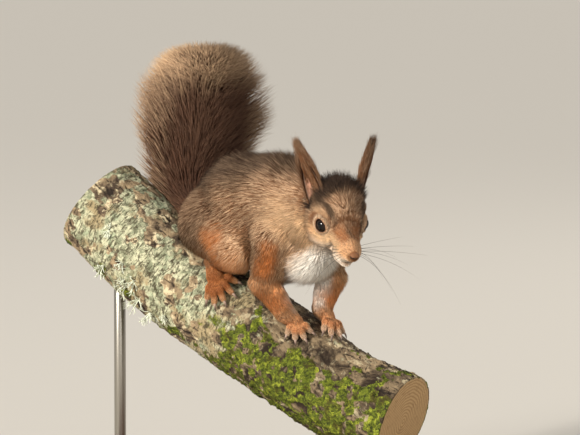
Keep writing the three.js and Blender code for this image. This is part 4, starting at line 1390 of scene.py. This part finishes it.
# painted shade in the nostrils and along the underside of the nose pad
nose_shade = 1 - ramp(bare_bone((1.5, 1.3, -0.75), (0.5, 2.8, -0.4), 0.45, 0.35)(nose_local), 0.1, 0.6)
nose_shade = np.maximum(nose_shade, 0.8 * (1 - ramp(nose_local[:, 2] + 0.35 * nose_local[:, 1], -1.3, -0.2)))
add_mesh(
    "nose_pad", nose_points, nose_faces, nose_material, values={"nose_shade": nose_shade},
    uv=planar_uv(nose_points, nose_faces), slot="nose_skin", replaces=["nose"],
)

# ---------------------------------------------------------------- ears

EAR_HALF_WIDTH, EAR_DEPTH, EAR_TOTAL = 6.58, 3.6, 47.5
EAR_BLADE = (-0.1, 0.61)  # the blade's foot and tip, as shares of the length with the pencil
EAR_RISE = [-0.1, 0.0, 0.12, 0.26, 0.4, 0.52, 0.58, 0.61]
EAR_WIDTHS = [0.8, 0.92, 1.0, 0.98, 0.84, 0.56, 0.34, 0.14]
EAR_ARC = math.radians(84)
EAR_RINGS, EAR_STEPS = 40, 22


def ear_root(side):
    return on_head(-12.9, side * 14.3, 6)


def ear_way(side):
    up = unit(head_way(-0.51, side * 0.28, 0.81))
    facing = head_way(0.55, side * 0.82, 0.1)
    outer = unit(facing - facing @ up * up)
    return up, outer, np.cross(outer, up), head_way(-1, side * 0.35, 0)


def ear_place(side, t, turn, thick=0.0):
    """A point of the ear's blade: t up it, turn round its scoop from -1 to 1, thick in from its back."""
    up, outer, across, back = ear_way(side)
    width = np.interp(t, EAR_RISE, EAR_WIDTHS)
    half, depth = EAR_HALF_WIDTH * width, EAR_DEPTH * (0.35 + 0.65 * width)
    bend = 5 * np.maximum(t - 0.35, 0) ** 1.5
    middle = ear_root(side) + (EAR_TOTAL * t)[..., None] * up + bend[..., None] * back
    aside, behind = (half - thick) * np.sin(turn * EAR_ARC), (depth - thick) * np.cos(turn * EAR_ARC)
    return middle + aside[..., None] * across - behind[..., None] * outer


def ear_blade(name, side):
    """The ear's scoop of skin, outside and inside."""
    t, turn = np.meshgrid(np.linspace(*EAR_BLADE, EAR_RINGS), np.linspace(-1, 1, EAR_STEPS), indexing="ij")
    thick = 1.25 * (1 - 0.55 * np.abs(turn) ** 3) * (1 - 0.4 * ramp(t, 0.46, 0.6))
    inside = ear_place(side, t, turn * 0.96, thick)[:, ::-1]
    ring = np.concatenate([ear_place(side, t, turn), inside], axis=1)
    points = np.concatenate([ring.reshape(-1, 3), ring[0].mean(axis=0)[None], ring[-1].mean(axis=0)[None]])
    faces = ring_faces(EAR_RINGS, 2 * EAR_STEPS)
    a, b, c = (points[faces[:, i]] - points.mean(axis=0) for i in range(3))
    if np.einsum("ij,ij->i", a, np.cross(b, c)).sum() < 0:
        faces = faces[:, ::-1]
    edge, none = np.abs(turn) ** 6, np.zeros_like(t)
    # painted shade low in the middle of the ear's scoop, on its inside only
    shade = ramp(0.3 - t, 0, 0.16) * (1 - ramp(np.abs(turn), 0.35, 0.7))
    both = lambda outer, inner: np.append(np.concatenate([outer, inner], axis=1), [0, 0])
    values = {"inner": both(none, none + 1), "rim": both(edge, edge), "ear_pit_shade": both(none, shade)}
    add_mesh(
        f"ear_{name}_conch", points, faces, ear_material, values=values, uv=planar_uv(points, faces),
        slot="ear_fur", replaces=[f"ear_{name}"],
    )


EAR_HAIRS = [3700, 1800, 1200, 1000]  # on its back, inside, on its rim, and in the pencil at its tip
EAR_SPANS = [(-0.04, 0.6), (0.0, 0.58), (0.0, 0.6), (0.36, 0.6)]
INSIDE, RIM, PENCIL = 1, 2, 3
PENCIL_SHORTEST = 8  # a hair longer than this belongs to the pencil's piece


def ear_fur(name, side):
    """Fur on the back and rims, thin fur inside, all drawing in to the long pencil of hair at the tip."""
    up, outer, across, back = ear_way(side)
    part = np.repeat(range(4), [int((1) * count) for count in EAR_HAIRS])
    m = len(part)
    for_each = lambda *values: np.choose(part, values)
    t = for_each(*[rng.uniform(*span, m) for span in EAR_SPANS])
    # Inside, hair springs from the front half and leaves a bare strip behind it.
    front_half = rng.uniform(-0.98, 0.25, m) * -side
    whole = rng.uniform(-1, 1, m)
    inside_turn = np.where((t > 0.36) | (rng.random(m) < 0.08), whole, front_half)
    turn = for_each(whole, inside_turn, np.sign(whole) * rng.uniform(0.88, 1, m), whole)
    roots = ear_place(side, t, turn, for_each(0, 1.1, 0, 0))
    normals = unit(ear_place(side, t, turn) - ear_place(side, t, turn, 1.0))
    normals[part == INSIDE] *= -1
    on_rim = (part == RIM)[:, None]
    edge_way = 0.3 * on_rim * (np.sign(turn)[:, None] * across + outer)
    fuzz = rng.standard_normal((m, 3)) * 0.13
    start = unit(up + fuzz + normals * for_each(0.36, 0.45, 0.3, 0.15)[:, None] + edge_way)
    own = unit(up + fuzz + normals * for_each(0.1, 0.2, 0.1, 0.0)[:, None] + edge_way * 0.6 + 0.14 * back)
    length = for_each(4.6, 4.8, 4.4, 4.0) * rng.uniform(0.7, 1.2, m)
    point = ear_root(side) + (EAR_TOTAL - 4.5) * up + 4.8 * back
    span = point + rng.standard_normal((m, 3)) * 1.4 - roots
    drawn = np.where(part == PENCIL, 1.0, ramp(t, 0.26, 0.5))
    start = unit(lerp(start, unit(span), 0.6 * drawn[:, None]))
    finish = lerp(own, 2 * unit(span) - start, drawn[:, None])
    length = lerp(length, np.linalg.norm(span, axis=1) * rng.uniform(0.4, 1.08, m), drawn)
    width = for_each(0.4, 0.3, 0.32, 0.42) * rng.uniform(0.75, 1.2, m)
    marks = np.zeros((m, 6))
    marks[:, 1], marks[:, 2] = for_each(0.12, 0.1, 0.08, 0.0), for_each(0.75, 0.55, 0.85, 0.85)
    ticks = for_each(0.35, 0.3, 0.35, 0.4) * rng.random(m)
    uv = np.stack([(turn + 1) / 4 + 0.5 * (part == INSIDE), (t + 0.1) / 0.72], axis=1)
    long = length >= PENCIL_SHORTEST
    for key, own, rings in (("fur", ~long, 1), ("pencil", long, 2)):
        tuft_piece(
            f"ear_{name}_{key}", uv[own], roots[own], normals[own], start[own], finish[own], length[own],
            width[own], rings, marks[own], ticks[own], coat_hair, "ear_fur",
        )


for name, side in SIDES.items():
    ear_blade(name, side)
    ear_fur(name, side)

# ---------------------------------------------------------------- claws and whiskers

CLAW_SIDES, WHISKER_SIDES = 12, 5
claws = Loose()
t = np.linspace(0, 1, 10)
for name, (_, fingers) in feet.items():
    size, (station, _), _ = FEET[name]
    for _, _, (tip, _, _), (end, _, _) in fingers:
        out = unit(tip - on_line(station))
        bow = lerp(tip, end, 0.45) + out * 1.5
        line = lerp(lerp(tip, bow, t[:, None]), lerp(bow, end - out * 0.5, t[:, None]), t[:, None])
        shape = tube(line, size["claw"] * np.sqrt(1 - t * 0.985), CLAW_SIDES, 0.8, up=out)
        claws.add(*shape, along=along_tube(t, CLAW_SIDES))
claws.piece("claws", claw_material, unwrap=True, slot="claw")

WHISKER_ROWS = [(-7.2, 1, 0.2), (-8.8, 0.92, 0.34), (-10.4, 0.72, 0.62)]  # height, share of length, droop
WHISKER_COLUMNS = (21.0, 18.6, 16.2)
WHISKER_RADIUS = 0.125
FAR_SHARE = 0.72  # the far side's whiskers are this much shorter
WHISKER_FRONT = -88.0  # none of them reaches further forward than this
whiskers = Loose()
t = np.linspace(0, 1, 14)
for side in SIDES.values():
    for row, (height, row_share, hang) in enumerate(WHISKER_ROWS):
        for column, forward in enumerate(WHISKER_COLUMNS):
            start = on_head(forward, side * 5.4, height) - 0.6 * side * head_left
            way = unit(head_way(0.12 - 0.181 * column, side, 0.06 - 0.2 * row))
            length = (50 - 5 * column + 5 * rng.random()) * row_share * (FAR_SHARE if side < 0 else 1)
            sag = head_way(-0.2, 0, 0) + vec(0, 0.05, -hang * lerp(0.8, 1.25, rng.random()))
            line = start + length * (way * t[:, None] + sag * t[:, None] ** 2)
            line[:, 1] = np.maximum(line[:, 1], WHISKER_FRONT)
            shape = tube(line, WHISKER_RADIUS * (1 - 0.8 * t), WHISKER_SIDES)
            whiskers.add(*shape, along=along_tube(t, WHISKER_SIDES))
whiskers.piece("whiskers", whisker_material, slot="whisker")

# ---------------------------------------------------------------- branch


def branch_cover(p, station, angle):
    """Shares of grey lichen crust and of moss over the branch."""
    s = station / BRANCH_LENGTH + 0.07 * cloudy(p / 16, 3, 31)
    turn = np.degrees(np.arctan2(np.sin(angle), np.cos(angle)))
    crust = ramp(cloudy(p / 9, 4, 37) + 0.35 * ramp(turn, 30, 90), -0.35, 0.3)
    crust *= 1 - 0.8 * ramp(s, 0.5, 0.6)
    below = ramp(turn, 34, 70) * (1 - ramp(turn, 150, 175))
    # the lower front and the far end are dampest, where moss grows
    damp_and_shade = below + 0.35 * ramp(s, 0.8, 0.95) + 0.8 * cloudy(p / 8, 5, 41)
    moss = ramp(s, 0.47, 0.58) * ramp(damp_and_shade, 0.45, 0.75) * ramp(cloudy(p / 5, 4, 45), -0.5, -0.1)
    moss = np.maximum(moss, ramp(cloudy(p / 12, 3, 43), 0.35, 0.7) * ramp(np.abs(turn), 105, 140))
    from_palms = [np.linalg.norm(p - branch_point(*palm), axis=1) for _, palm, _ in FEET.values()]
    moss *= ramp(np.min(from_palms, axis=0), 13, 22)  # the feet have worn it away
    return crust * (1 - moss), moss


def unrolled(station, angle, along, radius):
    """Places round the branch, drawn out or closed up along it."""
    return np.stack([station * along, radius * np.cos(angle), radius * np.sin(angle)], axis=1)


def bark_relief(p, station, angle, crust, moss):
    """How far the bark stands out from its middle surface, and how open its cracks are."""
    lengthwise = unrolled(station, angle, 0.25, 34) + 1.5 * cloudy(p / 8, 2, 49)[:, None]
    furrows = ramp(np.abs(cloudy(lengthwise / 6, 3, 51)), 0.0, 0.16)
    breaks = ramp(np.abs(cloudy(unrolled(station, angle, 1.2, 20) / 8, 2, 59)), 0.0, 0.08)
    cracks = np.minimum(furrows, lerp(1, breaks, ramp(cloudy(p / 14, 2, 58), 0, 0.4)))
    plates = cloudy(p / 3.6, 3, 53)
    flaky = 0.5 * plates + 0.35 * np.round(plates * 2.5) / 2.5 - 0.95 * (1 - cracks) + 0.2
    scaly = 0.4 * cloudy(p / 2.1, 3, 61) + 0.3 * ramp(cloudy(p / 5, 3, 63), -0.1, 0.15)
    scaly -= 0.15 * (1 - cracks)
    mossy = 1.2 * cloudy(p / 4, 3, 67) + 0.45
    return lerp(lerp(flaky, scaly, crust), mossy, moss), lerp(cracks, 1, 0.75 * crust)


ROUND_STEPS, LONG_STEPS = ((250, 270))
CAP = [0.02, 0.2, 0.38, 0.56, 0.72, 0.86, 0.95, 0.985]  # rings over the sawn ends, as shares of the radius
FULL_TURN = 2 * np.pi
stations = np.linspace(0, BRANCH_LENGTH, LONG_STEPS)
stations = np.concatenate([np.zeros(len(CAP)), stations, np.full(len(CAP), BRANCH_LENGTH)])
S, A = np.meshgrid(stations, np.linspace(0, FULL_TURN, ROUND_STEPS, endpoint=False), indexing="ij")
S, A = S.ravel(), A.ravel()
shrink = np.repeat([*CAP, *np.ones(LONG_STEPS), *CAP[::-1]], ROUND_STEPS)
surface = branch_point(S, np.degrees(A))
crust, moss = branch_cover(surface, S, A)
# painted shade over the front of the branch's right half, for the bark's colour
damp_and_shade = ramp(S / BRANCH_LENGTH + 0.05 * cloudy(surface / 12, 3, 33), 0.45, 0.56) * ramp(np.sin(A), 0.1, 0.75)
relief, cracks = bark_relief(surface, S, A, crust, moss)
pressed = np.min([ramp(foot(surface, 1), 0.2, 4) for foot in foot_fields.values()], axis=0)
relief = np.where(relief > 0, relief * pressed, relief * lerp(0.5, 1, pressed)) - 0.35
relief *= shrink * lerp(0.4, 1, ramp(S, 0, 3) * ramp(BRANCH_LENGTH - S, 0, 3))
spoke = surface - on_line(S)
bark_points = on_line(S) + spoke * shrink[:, None] + unit(spoke) * relief[:, None]
bark_points = np.concatenate([bark_points, on_line(np.array([0.0, BRANCH_LENGTH]))])
bark_faces = ring_faces(len(stations), ROUND_STEPS)

# Its unwrap: turns run across and stations up, with the sawn ends as strips below and above.
cap_strip = np.where(S < 1, 0.04 * shrink, 1 - 0.04 * shrink)
up_strip = np.where(shrink < 1, cap_strip, 0.05 + 0.9 * S / BRANCH_LENGTH)
bark_uv = np.concatenate([np.stack([A / FULL_TURN, up_strip], axis=1), [[0.5, 0], [0.5, 1]]])[bark_faces]
wrapped = np.ptp(bark_uv[..., 0], axis=1) > 0.5
bark_uv[..., 0] += wrapped[:, None] & (bark_uv[..., 0] < 0.5)
bark_uv[..., 0] /= 1 + 1 / ROUND_STEPS
bark_values = {  # each with its value at the two middles of the sawn ends
    "station": (S / BRANCH_LENGTH, 0), "turn": (5 * np.abs(A - np.pi), 0), "crust": (crust, 0),
    "moss": (moss, 0), "damp_and_shade": (damp_and_shade, 0), "crack": (cracks, 1), "sawn": ((shrink < 0.97) * 1.0, 1),
    "ring": (shrink, 0),
}
add_mesh(
    "branch", bark_points, bark_faces, bark_material, uv=bark_uv, slot="bark", replaces=["perch"],
    values={key: np.concatenate([values, [end, end]]) for key, (values, end) in bark_values.items()},
)

# ---------------------------------------------------------------- moss and lichen

MOSS_CROWD = 2.15
is_side = np.append(shrink >= 1, [False, False])
side_faces = bark_faces[is_side[bark_faces].all(axis=1)]
moss_crowd = moss[side_faces].mean(axis=1) ** 2 * MOSS_CROWD
bark_normals = point_normals(bark_points, bark_faces)
roots, normals, corners = scatter(bark_points, side_faces, moss_crowd, bark_normals)
m = len(roots)
clump = three_noises(roots / 2.2, 72, 73, 74)
way = unit(normals + rng.standard_normal((m, 3)) * 0.35 + 0.7 * clump + vec(0, 0, 0.3))
length = rng.uniform(1.2, 3.0, m) * (0.5 + 0.8 * ramp(cloudy(roots / 5, 2, 71), -0.4, 0.5))
moss_uv = np.stack([A[corners[:, 0]] / FULL_TURN, S[corners[:, 0]] / BRANCH_LENGTH], axis=1)
tuft_piece(
    "moss", moss_uv, roots, normals, way, unit(way + vec(0, 0, -0.2)), length, rng.uniform(0.5, 0.85, m), 1,
    np.zeros((m, 6)), np.zeros(m), moss_material, "moss",
)

SPRAYS = [  # station, degrees round the branch, and size
    (62, 118, 9), (66, 106, 8), (74, 124, 10), (84, 132, 8),
    (52, 98, 7), (40, 120, 8), (96, 118, 6), (30, 80, 6),
]
SPRAY_TWIGS, SPRAY_FORKS, SPRAY_GENERATIONS = 9, 2, 3
sprays = Loose()
t = np.linspace(0, 1, 4)
for station, degrees, size in SPRAYS:
    foot_at = branch_point(station, degrees, -0.6)
    outward = unit(branch_point(station, degrees, 1) - foot_at)
    twigs = [
        (foot_at, unit(outward + rng.standard_normal(3) * 0.55), size * rng.uniform(0.35, 0.6), 0.8)
        for _ in range(SPRAY_TWIGS)
    ]
    for _ in range(SPRAY_GENERATIONS):
        grown = []
        for start, way, length, radius in twigs:
            line = start + length * (way * t[:, None] + vec(0, 0, -0.15) * t[:, None] ** 2)
            sprays.add(*tube(line, radius * (1 - 0.35 * t), 5, 0.3))
            for _ in range(SPRAY_FORKS):
                turned = unit(way + rng.standard_normal(3) * 0.75)
                grown.append((line[-1], turned, length * 0.66, radius * 0.72))
        twigs = grown
sprays.piece("lichen_sprays", lichen_material, slot="moss")

# ---------------------------------------------------------------- stand

BOARD_CORNER, BOARD_EASED, BOARD_FOOT, BOARD_STEPS = 22, 2.5, 0.8, 96
board_low, board_high = np.array(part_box("stand_base")) / MM
half_size, middle = (board_high - board_low) / 2, (board_high + board_low) / 2
bottom, top = board_low[2], board_high[2]
profile = [(bottom, BOARD_FOOT), (bottom + BOARD_FOOT, 0)]  # height, and how far in from the board's edge
for a in np.linspace(0, math.pi / 2, 7):
    profile.append((top - BOARD_EASED * (1 - math.sin(a)), BOARD_EASED * (1 - math.cos(a))))
profile += [(top, inset) for inset in (6, 12, 20, 30, 45, 60)]
angles = np.linspace(0, FULL_TURN, BOARD_STEPS, endpoint=False)
turned = np.stack([np.cos(angles), np.sin(angles)], axis=1)
rings = []
for z, inset in profile:
    corner = max(BOARD_CORNER - inset, 1.5)
    straight = np.maximum(half_size[:2] - inset - corner, 1)
    ring = middle[:2] + np.sign(turned + 1e-9) * straight + turned * corner
    rings.append(np.column_stack([ring, np.full(BOARD_STEPS, z)]))
board_points = np.concatenate([*rings, [[*middle[:2], bottom], [*middle[:2], top]]])
board_faces = ring_faces(len(profile), BOARD_STEPS)[:, ::-1]
add_mesh(
    "walnut_board", board_points, board_faces, board_material, smooth=False, slot="board",
    uv=planar_uv(board_points, board_faces), replaces=["stand_base"],
)

ROD_NAMES, ROD_SIDES = ("stand_rod_rear", "stand_rod_front"), 48
COLLAR = [(0, 4.4), (0, 7.2), (0.5, 7.7), (2.4, 7.7), (3.0, 7.2), (3.2, 4.4)]  # height over board, radius
rods = Loose()
for name in ROD_NAMES:
    rod_low, rod_high = np.array(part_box(name)) / MM
    x, y, _ = (rod_low + rod_high) / 2
    radius = (rod_high - rod_low)[0] / 2
    rod = [(top + 0.05, radius - 0.3), (top + 0.6, radius)]
    rod += [(rod_high[2] - 1.5, radius), (rod_high[2] - 0.4, radius - 0.4)]
    collar = [(top + 0.02 + z + 1e-3 * i, r) for i, (z, r) in enumerate(COLLAR)]
    for rings in (rod, collar):
        rods.add(*tube([(x, y, z) for z, _ in rings], [r for _, r in rings], ROD_SIDES, up=vec(1, 0, 0)))
rods.piece("stand_rods", rod_material, unwrap=True, slot="rod", replaces=ROD_NAMES)

# ---------------------------------------------------------------- floor, lights and camera

FLOOR = 20  # half the floor's side, in metres, as all that follows is
floor_mesh = bpy.data.meshes.new("floor")
floor_corners = [(-FLOOR, -FLOOR, 0), (FLOOR, -FLOOR, 0), (FLOOR, FLOOR, 0), (-FLOOR, FLOOR, 0)]
floor_mesh.from_pydata(floor_corners, [], [(0, 1, 2, 3)])
floor_mesh.materials.append(floor_material)
floor = bpy.data.objects.new("floor", floor_mesh)
bpy.context.scene.collection.objects.link(floor)
floor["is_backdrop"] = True

world = bpy.data.worlds.new("studio")
world.use_nodes = True
world.node_tree.nodes["Background"].inputs["Color"].default_value = (1.0, 0.975, 0.94, 1)
world.node_tree.nodes["Background"].inputs["Strength"].default_value = 0.5
bpy.context.scene.world = world
bpy.context.scene.view_settings.view_transform = "Standard"

SUBJECT = vec(0.02, -0.02, 0.1986)
LIGHTS = [  # name, place, width, power, colour
    ("fill_light", vec(1.0, -2.7, 0.9), 2.0, 16, (1.0, 0.97, 0.93)),
    ("rim_light", vec(1.1, 1.7, 1.6), 1.0, 6, (1.0, 0.96, 0.9)),
    ("catch_light", vec(-2.1, -2.1, 1.15), 0.8, 46, (1.0, 0.95, 0.88)),
]
SUN_PLACE, SUN_POWER, SUN_WIDTH, SUN_COLOUR = vec(-2.1, -2.1, 1.1), 3.3, math.radians(6), (1.0, 0.95, 0.87)


def aimed(name, data, place):
    """A light or camera at a place, turned to the subject."""
    made = bpy.data.objects.new(name, data)
    bpy.context.scene.collection.objects.link(made)
    made.location = place
    made.rotation_euler = Vector(SUBJECT - place).to_track_quat("-Z", "Y").to_euler()
    return made


for name, place, width, power, colour in LIGHTS:
    lamp = bpy.data.lights.new(name, "AREA")
    lamp.shape, lamp.size, lamp.energy, lamp.color = "DISK", width, power, colour
    aimed(name, lamp, place)

sun = bpy.data.lights.new("key_light", "SUN")
sun.energy, sun.angle, sun.color = SUN_POWER, SUN_WIDTH, SUN_COLOUR
aimed("key_light", sun, SUN_PLACE)

CAMERA_RISE, CAMERA_REACH = math.radians(5), 3.0
camera_data = bpy.data.cameras.new("camera")
camera_data.sensor_width, camera_data.lens = 36, 279.3
camera_data.clip_start, camera_data.clip_end = 0.1, 60
camera_way = vec(0, -math.cos(CAMERA_RISE), math.sin(CAMERA_RISE))
bpy.context.scene.camera = aimed("camera", camera_data, SUBJECT + CAMERA_REACH * camera_way)

both = {"cad": cad_box, "visual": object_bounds()}
{key: [list(corner) for corner in box] for key, box in both.items()}
